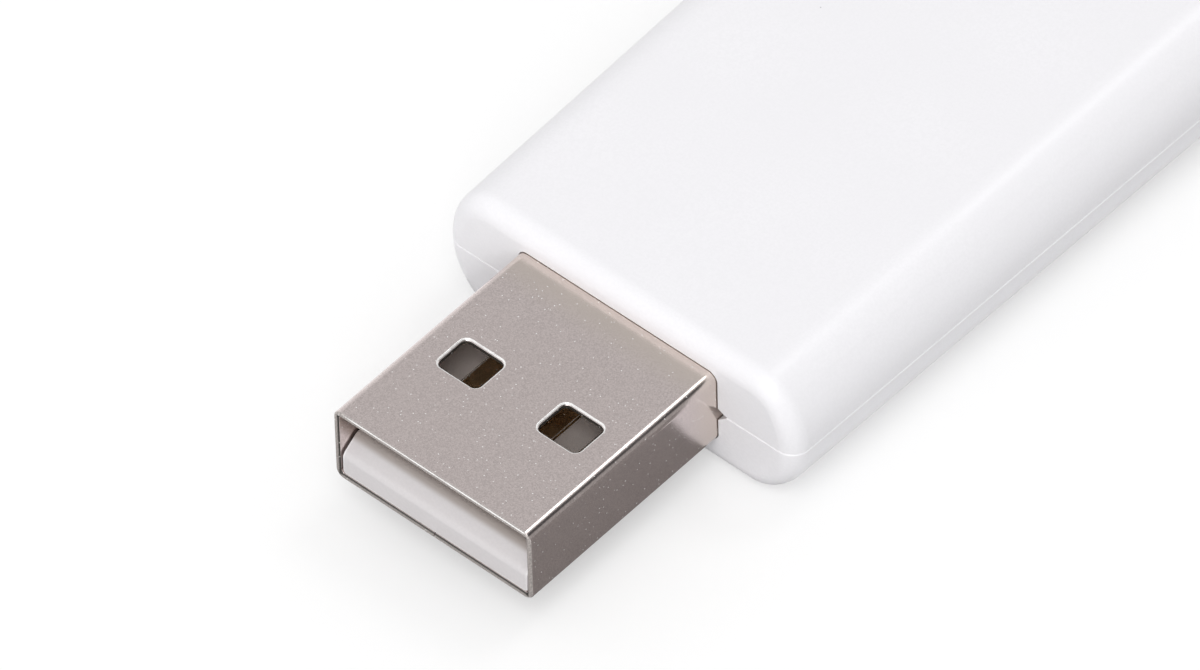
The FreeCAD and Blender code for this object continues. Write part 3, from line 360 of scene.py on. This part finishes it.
def edge_highlight_group():
    """1 on an edge and 0 away from it, broken up so that it isn't an even line."""
    group, given, result = new_group(
        "edge_highlight", (("Radius", 0.1 * MM), ("Break Up Size", 0.8 * MM)), ("Edge",))
    bevel = add(group, "ShaderNodeBevel", {"samples": 6}, Radius=given.outputs["Radius"])
    true_normal = group.nodes.new("ShaderNodeNewGeometry").outputs["Normal"]
    product = add(group, "ShaderNodeVectorMath", {"operation": "DOT_PRODUCT"})
    put(product.inputs[0], bevel.outputs["Normal"])
    put(product.inputs[1], true_normal)
    on_flat, on_edge, faintest = 0.999, 0.95, 0.35
    edge = remap(group, product.outputs["Value"], on_flat, on_edge)
    broken = add(group, "ShaderNodeTexNoise", Vector=place_on(group), Detail=3.0,
                 Scale=calc(group, "DIVIDE", 1.0, given.outputs["Break Up Size"]))
    kept = remap(group, broken.outputs[0], 0.25, 0.6, faintest, 1.0)
    put(result.inputs["Edge"], calc(group, "MULTIPLY", edge, kept, clamp=True))
    return group


def specks_group():
    """Small round dots in a share of the cells that space is divided into, one to a cell."""
    group, given, result = new_group(
        "specks", (("Spacing", 1 * MM), ("Dot", 0.1), ("Share", 0.3)), ("Mask",))
    cells = add(group, "ShaderNodeTexVoronoi", Vector=place_on(group),
                Scale=calc(group, "DIVIDE", 1.0, given.outputs["Spacing"]))
    dot = calc(group, "LESS_THAN", cells.outputs["Distance"], given.outputs["Dot"])
    chosen = calc(group, "LESS_THAN", cells.outputs["Color"], given.outputs["Share"])
    put(result.inputs["Mask"], calc(group, "MULTIPLY", dot, chosen))
    return group


FINE_GRAIN = fine_grain_group()
EDGE_HIGHLIGHT = edge_highlight_group()
SPECKS = specks_group()
print("node groups:", [g.name for g in bpy.data.node_groups])

# %% [markdown]
# ## White moulded plastic
#
# The casing is a satin white plastic with a faint lavender tone. The mould left a very fine grain,
# so its highlights are soft. Seen close it isn't even: the gloss varies in slow patches, and a few
# dust specks sit on it. A faint white line is painted along its edges as a highlight. The grain,
# patches and specks are procedural noise on Object coordinates, so they stay in place from any
# view.
#
# The insulator in the plug is a plainer, matt plastic, a little greyer, with a stronger painted
# highlight along its edges. Inside the cavity its colour darkens from the front edge inwards:
# painted shade for the shadow under the shell's lip.

# %% White moulded plastic
EDGE_HIGHLIGHT_WHITE = (0.95, 0.95, 0.95, 1)
DUST, DUST_DEPTH = srgb(150, 146, 150), 0.55


def moulded_white(
        name, colour, rough_low, rough_high, grain_height, mottle,
        edge_width=0.12 * MM, edge_highlight_strength=0.3, painted_light=None):
    """White plastic. Its last argument, if given, is painted shade: a colour, and the range of Y
    over which the plastic darkens to it.
    """
    material, tree, shader = new_material(name)
    grain = use(tree, FINE_GRAIN, Grain_Size=0.14 * MM, Patch_Size=6 * MM)
    edge_highlight_mask = use(tree, EDGE_HIGHLIGHT, Radius=edge_width, Break_Up_Size=1.5 * MM)["Edge"]
    dust = use(tree, SPECKS, Spacing=2.6 * MM, Dot=0.02, Share=0.25)["Mask"]
    darker = scaled(colour, 1 - mottle)
    slow = mix_colour(tree, grain["Patches"], darker, colour)
    body = mix_colour(tree, remap(tree, grain["Height"], *GRAIN_RANGE), darker, slow)
    # A whiter line along the edges is a painted highlight.
    edge_lit = mix_colour(tree, calc(tree, "MULTIPLY", edge_highlight_mask, edge_highlight_strength), body, EDGE_HIGHLIGHT_WHITE)
    finish = mix_colour(tree, calc(tree, "MULTIPLY", dust, DUST_DEPTH), edge_lit, DUST)
    # Darker from the front edge inwards: painted shade under the shell's lip.
    if painted_light:
        painted_light_colour, painted_light_from, painted_light_to = painted_light
        along = add(tree, "ShaderNodeSeparateXYZ", Vector=place_on(tree)).outputs["Y"]
        finish = mix_colour(tree, remap(tree, along, painted_light_from, painted_light_to), finish, painted_light_colour)
    put(shader.inputs["Base Color"], finish)
    gloss = remap(tree, grain["Patches"], *PATCH_RANGE, rough_low, rough_high)
    put(shader.inputs["Roughness"], gloss)
    bump = add(tree, "ShaderNodeBump", Height=grain["Height"], Strength=1.0, Distance=grain_height)
    put(shader.inputs["Normal"], bump.outputs["Normal"])
    return material


CASING = moulded_white(
    "satin_white_plastic", srgb(244, 243, 246), rough_low=0.30, rough_high=0.40,
    grain_height=0.0016 * MM, mottle=0.045)
paint([CASING], "top_cover", "bottom_cover")
# Painted shade inside the cavity, under the shell's lip: a colour and the range of Y it takes.
CAVITY_PAINTED_SHADE = (srgb(173, 164, 159), shell_low.y + 0.68 * MM, shell_low.y + 0.98 * MM)
INSULATOR = moulded_white(
    "matt_white_plastic", srgb(219, 215, 216), rough_low=0.45, rough_high=0.60,
    grain_height=0.003 * MM, mottle=0.06,
    edge_width=0.2 * MM, edge_highlight_strength=1.0, painted_light=CAVITY_PAINTED_SHADE)
paint([INSULATOR], "plug_insulator")
print("plastics:", CASING.name, INSULATOR.name)

# %% [markdown]
# ## Sheet metal
#
# Nickel plating has little colour of its own and shows what it mirrors, so the base colour is only
# a warm pale grey. Close to, the plating has a fine grain, rolled lines along the sheet and small
# dark pits. Pale points are painted on it as glints, where a crystal of nickel would catch the
# light.
#
# One function makes all the sheet metals of the stick, because they differ mostly in colour and
# gloss: nickel, the bare steel of the cut faces, gilded strip and tinned sheet. Pale colour is
# painted as highlights at the glints, in a line along the edges and on the white rims, and there
# `Metallic` is lowered so that the metal scatters light like a powder. There it looks pale from
# every side.

# %% Sheet metal
METAL_HIGHLIGHT_WHITE = (0.95, 0.94, 0.93, 1)
ALONG_SHEET = (1.0, 0.06, 1.0)
PIT_SHADE, PIT_DEPTH = 0.6, 0.35
GLINT_STRENGTH = 0.75
PATCH_DEPTH = 0.3
SCATTERED = 0.8
ROLLED_DEPTH = 0.4
METAL_RELIEF = 0.0014 * MM


def sheet_metal(
        name, colour, rough_low, rough_high, mottle=0.13, edge_highlight_share=0.85, metallic=1.0,
        painted_highlight=None, painted_light=None):
    """Sheet metal. The second last argument is a function that makes a mask of painted highlight
    rims; the last is such a function and a colour, for painted shade on cut walls and a painted
    warm tint on nickel.
    """
    material, tree, shader = new_material(name)
    place = place_on(tree)
    grain = use(tree, FINE_GRAIN, Grain_Size=0.07 * MM, Patch_Size=2.5 * MM)
    stretched = add(tree, "ShaderNodeMapping", Vector=place, Scale=ALONG_SHEET)
    rolled = noise(tree, stretched.outputs["Vector"], 0.09 * MM, detail=2.0)
    pits = use(tree, SPECKS, Spacing=0.24 * MM, Dot=0.16, Share=0.35)["Mask"]
    # Pale points painted as glints.
    points = use(tree, SPECKS, Spacing=0.25 * MM, Dot=0.13, Share=0.5)["Mask"]
    edge_highlight_mask = use(tree, EDGE_HIGHLIGHT, Radius=0.07 * MM, Break_Up_Size=0.5 * MM)["Edge"]
    shades = scaled(colour, 1 - mottle), scaled(colour, 1 + mottle)
    mottled = mix_colour(tree, remap(tree, grain["Height"], *GRAIN_RANGE), *shades)
    patches = calc(tree, "MULTIPLY", grain["Patches"], PATCH_DEPTH)
    slow = mix_colour(tree, patches, mottled, shades[0])
    pitted = calc(tree, "MULTIPLY", pits, PIT_DEPTH)
    body = mix_colour(tree, pitted, slow, scaled(colour, PIT_SHADE))
    # A colour laid over by a mask: painted shade on the cut walls, and a painted warm tint on the
    # nickel.
    if painted_light:
        painted_light_mask, painted_light_colour = painted_light
        body = mix_colour(tree, painted_light_mask(tree), body, painted_light_colour)
    shining = calc(tree, "MULTIPLY", points, GLINT_STRENGTH)
    # Painted highlights: the glints and a pale line along the edges.
    bright = calc(tree, "MAXIMUM", shining, calc(tree, "MULTIPLY", edge_highlight_mask, edge_highlight_share))
    # White rims painted as highlights.
    if painted_highlight:
        bright = calc(tree, "MAXIMUM", bright, painted_highlight(tree))
    put(shader.inputs["Base Color"], mix_colour(tree, bright, body, METAL_HIGHLIGHT_WHITE))
    mirroring = calc(tree, "MULTIPLY_ADD", bright, -SCATTERED * metallic, metallic)
    put(shader.inputs["Metallic"], mirroring)
    gloss = remap(tree, grain["Patches"], *PATCH_RANGE, rough_low, rough_high)
    put(shader.inputs["Roughness"], gloss)
    relief = calc(tree, "SUBTRACT", grain["Height"], pits)
    height = calc(tree, "MULTIPLY_ADD", rolled, ROLLED_DEPTH, relief)
    bump = add(tree, "ShaderNodeBump", Height=height, Strength=1.0, Distance=METAL_RELIEF)
    put(shader.inputs["Normal"], bump.outputs["Normal"])
    return material


GILT = sheet_metal("gilded_strip", (0.86, 0.65, 0.38, 1), rough_low=0.22, rough_high=0.34)
TINNED = sheet_metal("tinned_sheet", (0.66, 0.66, 0.65, 1), rough_low=0.30, rough_high=0.45)
paint([GILT], "contact_power", "contact_data_minus", "contact_data_plus", "contact_ground")
paint([TINNED], "module_shield", "crystal")
print("metals:", GILT.name, TINNED.name)

# %% [markdown]
# ## White rims on the plug
#
# A narrow white rim is painted round each window and along the top of the mouth, as a painted
# highlight for the thin bright line that a rounded edge catches. It scatters light, so it looks
# white from every side.
#
# Such marks follow the shape of the part, so the material works out where it is. A window is a
# rectangle with rounded corners. The distance to its edge comes from the distance to a smaller
# rectangle, less the corner's radius, and the rim is where that distance is small.

# %% White rims on the plug
# How far from a window's edge its white rim lies.
RIM_FROM, RIM_TO = 0.05 * MM, 0.11 * MM
RIM_BLUR = 0.02 * MM
# How far the white rim of the mouth reaches back over the top and down over the cut face.
MOUTH_RIM_BACK, MOUTH_RIM_DOWN = 0.035 * MM, 0.06 * MM
MOUTH_RIM_BEGINS = (shell_low.x + 0.3 * MM, shell_low.x + 1.4 * MM)
# Noise that makes the painted highlight rims fainter in places.
RIM_BREAK_SIZE, RIM_BREAK_RANGE, FAINTEST_RIM = 0.5 * MM, (0.35, 0.5), 0.75


def painted_highlight_rims(tree):
    """1 on the rims of the windows and of the mouth's upper edge, where highlights are painted, 0
    elsewhere.
    """
    x, y, z = add(tree, "ShaderNodeSeparateXYZ", Vector=place_on(tree)).outputs
    squares = []
    for along, middle, half in zip((calc(tree, "ABSOLUTE", x), y), WINDOW_MIDDLE, WINDOW_HALF):
        offset = calc(tree, "ABSOLUTE", calc(tree, "SUBTRACT", along, middle))
        past = calc(tree, "MAXIMUM", calc(tree, "SUBTRACT", offset, half - WINDOW_CORNER), 0.0)
        squares.append(calc(tree, "MULTIPLY", past, past))
    to_smaller = calc(tree, "SQRT", calc(tree, "ADD", *squares))
    distance = calc(tree, "SUBTRACT", to_smaller, WINDOW_CORNER)
    inner_side = remap(tree, distance, RIM_FROM - RIM_BLUR, RIM_FROM)
    outer_side = remap(tree, distance, RIM_TO + RIM_BLUR, RIM_TO)
    window = calc(tree, "MULTIPLY", inner_side, outer_side)
    rim_back, rim_foot = shell_low.y + MOUTH_RIM_BACK, shell_high.z - MOUTH_RIM_DOWN
    at_mouth = remap(tree, y, rim_back + RIM_BLUR, rim_back)
    upper = remap(tree, z, rim_foot - RIM_BLUR, rim_foot)
    begun = remap(tree, x, *MOUTH_RIM_BEGINS)
    mouth = calc(tree, "MULTIPLY", calc(tree, "MULTIPLY", at_mouth, upper), begun)
    rim_break = noise(tree, place_on(tree), RIM_BREAK_SIZE)
    strength = remap(tree, rim_break, *RIM_BREAK_RANGE, FAINTEST_RIM, 1.0)
    return calc(tree, "MULTIPLY", calc(tree, "MAXIMUM", window, mouth), strength)


print("rims of", round((RIM_TO - RIM_FROM) / MM, 2), "mm round the windows")

# %% [markdown]
# ## Painted shade and tint on the plug
#
# Near the casing a faint warm tint is painted into the plating, where the white casing is mirrored.
# The cut walls below the white rims are painted dark, as painted shade. The cut face of the mouth
# takes that painted shade only next to the cavity, so its mask grows with the depth below the
# outside of the sheet.

# %% Painted shade and tint on the plug
casing_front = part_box("top_cover")[0].y
WARM_RANGE = (casing_front - 2.4 * MM, casing_front - 0.3 * MM)
CAVITY_RANGE = (SHEET * 0.65, SHEET * 0.9)
BEYOND_MOUTH = (shell_low.y + SHEET, shell_low.y + 2 * SHEET)


def painted_warm_tint(tree):
    """A mask that grows towards the casing, where a warm tint is painted over the casing's
    reflection.
    """
    y = add(tree, "ShaderNodeSeparateXYZ", Vector=place_on(tree)).outputs["Y"]
    return remap(tree, y, *WARM_RANGE)


def painted_shade_walls(tree):
    """A mask of the windows' walls, and of the mouth's cut face next to the cavity, where shade is
    painted.
    """
    x, y, z = add(tree, "ShaderNodeSeparateXYZ", Vector=place_on(tree)).outputs
    from_side = calc(tree, "SUBTRACT", shell_high.x, calc(tree, "ABSOLUTE", x))
    from_top = calc(tree, "SUBTRACT", shell_high.z, z)
    from_bottom = calc(tree, "SUBTRACT", z, shell_low.z)
    depth = calc(tree, "MINIMUM", calc(tree, "MINIMUM", from_side, from_top), from_bottom)
    cavity = remap(tree, depth, *CAVITY_RANGE)
    return calc(tree, "MAXIMUM", cavity, remap(tree, y, *BEYOND_MOUTH))


# The nickel takes a painted warm tint near the casing, where the casing is mirrored.
NICKEL = sheet_metal(
    "nickel_plated_steel", (0.75, 0.663, 0.645, 1), rough_low=0.16, rough_high=0.22,
    painted_highlight=painted_highlight_rims, painted_light=(painted_warm_tint, (0.74, 0.655, 0.60, 1)))
# The cut walls are painted dark: painted shade in the windows and next to the cavity.
BARE_STEEL = sheet_metal(
    "bare_cut_steel", (0.46, 0.42, 0.40, 1), rough_low=0.35, rough_high=0.50,
    mottle=0.3, edge_highlight_share=0.0, metallic=0.35,
    painted_highlight=painted_highlight_rims, painted_light=(painted_shade_walls, (0.05, 0.045, 0.04, 1)))
paint([NICKEL, BARE_STEEL], "plug_shell")
print("metals of the plug:", NICKEL.name, BARE_STEEL.name)

# %% [markdown]
# ## Circuit boards
#
# A board is glass cloth in resin, covered by a thin coloured mask. The cloth shows through the
# mask as a faint square weave, which two crossed Wave textures make. The mask ends at the
# board's edge, where the sawn laminate is seen, paler and dull. The material tells the two
# apart by the face's own normal: flat faces point up or down, sawn edges point sideways.

# %% Circuit boards
LAMINATE = (srgb(170, 152, 96), srgb(206, 190, 132))
WEAVE_LIGHTER, WEAVE_HEIGHT = 1.35, 2.0
MASK_ROUGHNESS, SAWN_ROUGHNESS = (0.22, 0.32), 0.75
RESIN_RELIEF = 0.002 * MM


def circuit_board(name, mask_colour):
    """The material of a board with a solder mask of a colour."""
    material, tree, shader = new_material(name)
    grain = use(tree, FINE_GRAIN, Grain_Size=0.1 * MM, Patch_Size=5 * MM)
    threads = [
        add(tree, "ShaderNodeTexWave", {"bands_direction": direction}, Vector=place_on(tree),
            Scale=1 / (4 * MM), Distortion=0.6, Detail=1.0).outputs["Fac"]
        for direction in ("X", "Y")
    ]
    weave = calc(tree, "MULTIPLY", *threads)
    normal = tree.nodes.new("ShaderNodeNewGeometry").outputs["Normal"]
    upright = calc(tree, "ABSOLUTE", add(tree, "ShaderNodeSeparateXYZ", Vector=normal).outputs["Z"])
    masked = remap(tree, upright, 0.4, 0.6)
    mask = mix_colour(tree, weave, mask_colour, scaled(mask_colour, WEAVE_LIGHTER))
    laminate = mix_colour(tree, grain["Height"], *LAMINATE)
    put(shader.inputs["Base Color"], mix_colour(tree, masked, laminate, mask))
    gloss = remap(tree, grain["Patches"], *PATCH_RANGE, *MASK_ROUGHNESS)
    put(shader.inputs["Roughness"], mix_value(tree, masked, SAWN_ROUGHNESS, gloss))
    height = calc(tree, "MULTIPLY_ADD", weave, WEAVE_HEIGHT, grain["Height"])
    bump = add(tree, "ShaderNodeBump", Height=height, Strength=1.0, Distance=RESIN_RELIEF)
    put(shader.inputs["Normal"], bump.outputs["Normal"])
    return material


paint([circuit_board("green_board", srgb(24, 92, 52))], "main_board")
paint([circuit_board("blue_board", srgb(22, 46, 92))], "radio_module_board")
print("boards painted")

# %% [markdown]
# ## Chips and other small parts
#
# The small parts are a body of ceramic or resin with metal at both ends. Each is one solid, so
# the material finds its metal from the place along one axis: beyond a given distance from the
# part's middle it is tinned metal.

# %% Chips and other small parts
TIN = ((0.55, 0.55, 0.54, 1), (0.72, 0.72, 0.70, 1))
TIN_ROUGHNESS = 0.3
DARKEST, SHINIEST = 0.8, 0.85


def small_part(node, body_colour, axis, metal_from, rough):
    """Paint a part whose body ends, along an axis, at a distance from its middle."""
    material, tree, shader = new_material(f"{node}_finish")
    low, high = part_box(node)
    middle = (low[axis] + high[axis]) / 2
    grain = use(tree, FINE_GRAIN, Grain_Size=0.06 * MM, Patch_Size=0.8 * MM)
    along = add(tree, "ShaderNodeSeparateXYZ", Vector=place_on(tree)).outputs["XYZ"[axis]]
    distance = calc(tree, "ABSOLUTE", calc(tree, "SUBTRACT", along, middle))
    metal = calc(tree, "GREATER_THAN", distance, metal_from)
    body = mix_colour(tree, grain["Height"], scaled(body_colour, DARKEST), body_colour)
    tin = mix_colour(tree, grain["Height"], *TIN)
    put(shader.inputs["Base Color"], mix_colour(tree, metal, body, tin))
    put(shader.inputs["Metallic"], metal)
    shine = remap(tree, grain["Patches"], *PATCH_RANGE, rough * SHINIEST, rough)
    put(shader.inputs["Roughness"], mix_value(tree, metal, shine, TIN_ROUGHNESS))
    bump = add(
        tree, "ShaderNodeBump", Height=grain["Height"], Strength=1.0, Distance=RESIN_RELIEF)
    put(shader.inputs["Normal"], bump.outputs["Normal"])
    paint([material], node)


ACROSS, ALONG = 0, 1
BLACK_RESIN = srgb(34, 33, 36)
# Further than any part reaches.
NO_METAL = 1.0
# Part, colour of its body, axis of its metal ends, where the metal starts, and roughness.
SMALL_PARTS = (
    ("input_fuse", srgb(196, 204, 188), ACROSS, 1.3 * MM, 0.4),
    ("input_capacitor", srgb(176, 150, 118), ACROSS, 0.7 * MM, 0.45),
    ("output_capacitor", srgb(176, 150, 118), ACROSS, 0.7 * MM, 0.45),
    ("led_resistor", BLACK_RESIN, ACROSS, 0.5 * MM, 0.35),
    ("indicator_led", srgb(226, 222, 196), ACROSS, 0.6 * MM, 0.15),
    ("voltage_regulator", BLACK_RESIN, ALONG, 0.8 * MM, 0.55),
    ("surge_diode", BLACK_RESIN, ALONG, 0.85 * MM, 0.55),
    ("radio_chip", BLACK_RESIN, ALONG, NO_METAL, 0.6),
)
for part in SMALL_PARTS:
    small_part(*part)
paint([GILT], "antenna_trace")
unpainted = [name for name, piece in SHOWN.items() if not any(piece.data.materials)]
print("small parts painted:", len(SMALL_PARTS), "still unpainted:", unpainted)

# %% [markdown]
# ## Floor
#
# The object stands on a plain white floor. The floor's own light makes it a clean white in the
# picture and in what the metal mirrors. It adds nothing to the light on the object, because
# only camera, glossy and transmission rays see it, and the object's soft shadow stays.

# %% Floor
FLOOR_WIDTH = 8.0
FLOOR_CLEARANCE = 0.01 * MM
FLOOR_GLOW = 0.38
FLOOR_COLOURS = ((0.61, 0.61, 0.61, 1), (0.62, 0.62, 0.62, 1))
FLOOR_PATCH = 30 * MM
bpy.ops.mesh.primitive_plane_add(
    size=FLOOR_WIDTH, location=(0.0, 0.0, cad_low.z - FLOOR_CLEARANCE))
floor = bpy.context.object
floor.name = "floor"
floor_material, tree, shader = new_material("white_floor")
mottle = noise(tree, place_on(tree), FLOOR_PATCH)
put(shader.inputs["Base Color"], mix_colour(tree, mottle, *FLOOR_COLOURS))
shader.inputs["Roughness"].default_value = 0.8
shader.inputs["Specular IOR Level"].default_value = 0.0
rays = tree.nodes.new("ShaderNodeLightPath").outputs
seen = calc(tree, "ADD", rays["Is Camera Ray"], rays["Is Glossy Ray"])
seen = calc(tree, "ADD", seen, rays["Is Transmission Ray"], clamp=True)
shader.inputs["Emission Color"].default_value = (1, 1, 1, 1)
put(shader.inputs["Emission Strength"], calc(tree, "MULTIPLY", seen, FLOOR_GLOW))
floor.data.materials.append(floor_material)
print("floor", FLOOR_WIDTH, "m wide")

# %% [markdown]
# ## Dark cards for the metal
#
# Bright metal on a white floor has no edges: its sides mirror the floor and melt into it. A
# photographer lays dark cards where the metal mirrors them, so that the sides turn a deep grey
# and the bright lines stand out. Here grey cards lie on the floor under and beside the plug
# and along the stick, and one stands further off to the right, where the round of the fold
# mirrors it. All three are one mesh.
#
# The lying cards reach a little under the casing's front, so that no strip of bright floor is
# mirrored there. The pale patch at the end of the plug's side is the white casing's reflection.

# %% Dark cards for the metal
CARD_LEVEL = cad_low.z + 0.005 * MM
CARD_REACH = 4.6 * MM
UNDERCUT = 0.9 * MM
FAR_CARD = 60 * MM
FAR_CARD_HEIGHT = 110 * MM
card_shape = bmesh.new()


def card(low, high):
    """A flat card between two opposite corners that share one coordinate."""
    low, high = Vector(low), Vector(high)
    corners = bmesh.ops.create_grid(card_shape, x_segments=1, y_segments=1, size=0.5)["verts"]
    if high.x == low.x:
        bmesh.ops.rotate(card_shape, matrix=Matrix.Rotation(math.pi / 2, 3, "Y"), verts=corners)
    bmesh.ops.scale(card_shape, vec=[size or 1 for size in high - low], verts=corners)
    bmesh.ops.translate(card_shape, vec=(low + high) / 2, verts=corners)


card_left, card_front = shell_low.x - CARD_REACH, shell_low.y - CARD_REACH
card_back = casing_front + UNDERCUT
far_front, far_back = shell_low.y - FAR_CARD, cad_high.y + FAR_CARD
card((card_left, card_front, CARD_LEVEL), (FAR_CARD, card_back, CARD_LEVEL))
card((cad_high.x + UNDERCUT, card_back, CARD_LEVEL), (FAR_CARD, cad_high.y, CARD_LEVEL))
card((FAR_CARD, far_front, CARD_LEVEL), (FAR_CARD, far_back, FAR_CARD_HEIGHT))
card_mesh = bpy.data.meshes.new("dark_cards")
card_shape.to_mesh(card_mesh)
card_shape.free()
cards = bpy.data.objects.new("dark_cards", card_mesh)
bpy.context.scene.collection.objects.link(cards)
print("cards:", len(card_mesh.polygons))

# %% [markdown]
# ## The cards' greys
#
# The lying cards have a faint fibre. The standing one is darker at the top, which draws the
# dark line under the fold's bright one. The material tells the two kinds apart by the height
# above the floor. Only glossy rays see the cards, so they take no light from the object.

# %% The cards' greys
DARK_ABOVE = (34 * MM, 46 * MM)
STANDING_ABOVE = (1 * MM, 2 * MM)
LYING_GREYS = ((0.24, 0.23, 0.225, 1), (0.29, 0.28, 0.275, 1))
STANDING_GREYS = ((0.54, 0.53, 0.52, 1), (0.12, 0.12, 0.12, 1))
FIBRE = 0.8 * MM
card_material, tree, shader = new_material("grey_card")
fibres = noise(tree, place_on(tree), FIBRE)
level = add(tree, "ShaderNodeSeparateXYZ", Vector=place_on(tree)).outputs["Z"]
lying = mix_colour(tree, fibres, *LYING_GREYS)
standing = mix_colour(tree, remap(tree, level, *DARK_ABOVE), *STANDING_GREYS)
grey = mix_colour(tree, remap(tree, level, *STANDING_ABOVE), lying, standing)
put(shader.inputs["Base Color"], grey)
shader.inputs["Roughness"].default_value = 0.9
shader.inputs["Specular IOR Level"].default_value = 0.0
card_mesh.materials.append(card_material)
for ray in ("camera", "diffuse", "shadow", "transmission"):
    setattr(cards, f"visible_{ray}", False)
print("cards painted:", card_material.name)

# %% [markdown]
# ## The white surrounding
#
# The object stands in a white surrounding, as in a light tent. The tent is a little brighter
# near the floor and on the left, where the plug's left fold mirrors it.

# %% The white surrounding
NEAR_FLOOR, OVERHEAD = 0.72, 0.60
OVERHEAD_FROM = 0.7
LEFT_EXTRA, LEFT_FROM, LEFT_FULL = 0.16, -0.55, -0.75
world = bpy.data.worlds.new("light_tent")
bpy.context.scene.world = world
world.use_nodes = True
tree = world.node_tree
tree.nodes.clear()
direction = tree.nodes.new("ShaderNodeTexCoord").outputs["Generated"]
sideways, _, height = add(tree, "ShaderNodeSeparateXYZ", Vector=direction).outputs
strength = remap(tree, height, 0.0, OVERHEAD_FROM, NEAR_FLOOR, OVERHEAD)
extra = remap(tree, sideways, LEFT_FROM, LEFT_FULL, 0.0, LEFT_EXTRA)
strength = calc(tree, "ADD", strength, extra)
background = add(tree, "ShaderNodeBackground", Color=(1, 1, 1, 1), Strength=strength)
world_output = tree.nodes.new("ShaderNodeOutputWorld")
tree.links.new(background.outputs[0], world_output.inputs["Surface"])
print("light near the floor", NEAR_FLOOR, "and overhead", OVERHEAD)

# %% [markdown]
# ## Four soft lamps
#
# Most of the lamps' light comes from a large soft one in front, to the right and above. Two
# lower ones, in front and to the right, light the casing's front and side, so that these are
# nearly as bright as its top. A small one overhead, a little behind, draws the bright line
# along the fold of the plug.
#
# Each lamp is given by the light it throws on a white face turned to it. A lamp of P watts at
# a distance d gives about P / (pi * d)**2 there, and its watts are worked out from that.

# %% Four soft lamps
LAMP_DISTANCE = 2.0
# Name, direction towards the lamp, width in metres, and strength.
LAMPS = (
    ("key_lamp", (0.25, -0.45, 0.86), 1.2, 0.29),
    ("low_right_lamp", (0.45, -0.75, 0.49), 1.0, 0.23),
    ("low_front_lamp", (0.0, -0.93, 0.37), 1.0, 0.06),
    ("overhead_lamp", (0.06, 0.49, 0.87), 0.55, 0.07),
)


def soft_lamp(name, direction, width, strength):
    """A square lamp that faces the object. Strength is the light on a white face turned to it."""
    lamp = bpy.data.lights.new(name, "AREA")
    lamp.shape = "SQUARE"
    lamp.size = width
    lamp.energy = strength * (math.pi * LAMP_DISTANCE) ** 2
    holder = bpy.data.objects.new(name, lamp)
    toward = Vector(direction).normalized()
    holder.location = toward * LAMP_DISTANCE
    holder.rotation_mode = "QUATERNION"
    holder.rotation_quaternion = toward.to_track_quat("Z", "Y")
    holder.visible_camera = False
    bpy.context.scene.collection.objects.link(holder)
    print(name, "gives", strength)


for lamp_facts in LAMPS:
    soft_lamp(*lamp_facts)

# %% [markdown]
# ## Camera
#
# The camera looks from the plug's right and above, at the angles fitted to the edges of the
# plug in the photo. The photo shows hardly any perspective, so the camera stands far away with
# a long lens. `PIXELS_PER_MM` is the scale at the plug's mouth, and sets the distance.
#
# The lens isn't longer than 600 mm, because views from other sides keep it. With a longer one
# they stand so far back that the far part of the floor, or even the object, isn't drawn.

# %% Camera
IMAGE_WIDTH, IMAGE_HEIGHT = 1200, 670
PIXELS_PER_MM = 21.96
SENSOR, LENS = 36.0, 600.0
AZIMUTH, ELEVATION, ROLL = (math.radians(a) for a in (42.77, 48.25, 1.852))
# Where the photo shows the middle of the plug's mouth, at the shell's underside.
MOUTH_PIXEL = (433.81, 537.96)
MOUTH = Vector((0.0, cad_low.y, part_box("plug_shell")[0].z))

towards = Vector((
    math.sin(AZIMUTH) * math.cos(ELEVATION),
    -math.cos(AZIMUTH) * math.cos(ELEVATION),
    math.sin(ELEVATION),
))
level_right = Vector((math.cos(AZIMUTH), math.sin(AZIMUTH), 0.0))
level_up = towards.cross(level_right)
right = level_right * math.cos(ROLL) - level_up * math.sin(ROLL)
up = level_right * math.sin(ROLL) + level_up * math.cos(ROLL)

camera_data = bpy.data.cameras.new("camera")
camera_data.sensor_width = SENSOR
camera_data.lens = LENS
camera = bpy.data.objects.new("camera", camera_data)
bpy.context.scene.collection.objects.link(camera)
frame_width = IMAGE_WIDTH / PIXELS_PER_MM * MM
distance = frame_width * LENS / SENSOR
offset_right = (IMAGE_WIDTH / 2 - MOUTH_PIXEL[0]) / PIXELS_PER_MM * MM
offset_up = (MOUTH_PIXEL[1] - IMAGE_HEIGHT / 2) / PIXELS_PER_MM * MM
target = MOUTH + right * offset_right + up * offset_up
camera.matrix_world = Matrix((
    (right.x, up.x, towards.x, 0.0),
    (right.y, up.y, towards.y, 0.0),
    (right.z, up.z, towards.z, 0.0),
    (0.0, 0.0, 0.0, 1.0),
))
camera.location = target + towards * distance
camera_data.clip_start = distance * 0.1
camera_data.clip_end = distance * 4
bpy.context.scene.camera = camera
bpy.context.scene.view_settings.view_transform = "Standard"
print("camera", round(distance, 3), "m away")
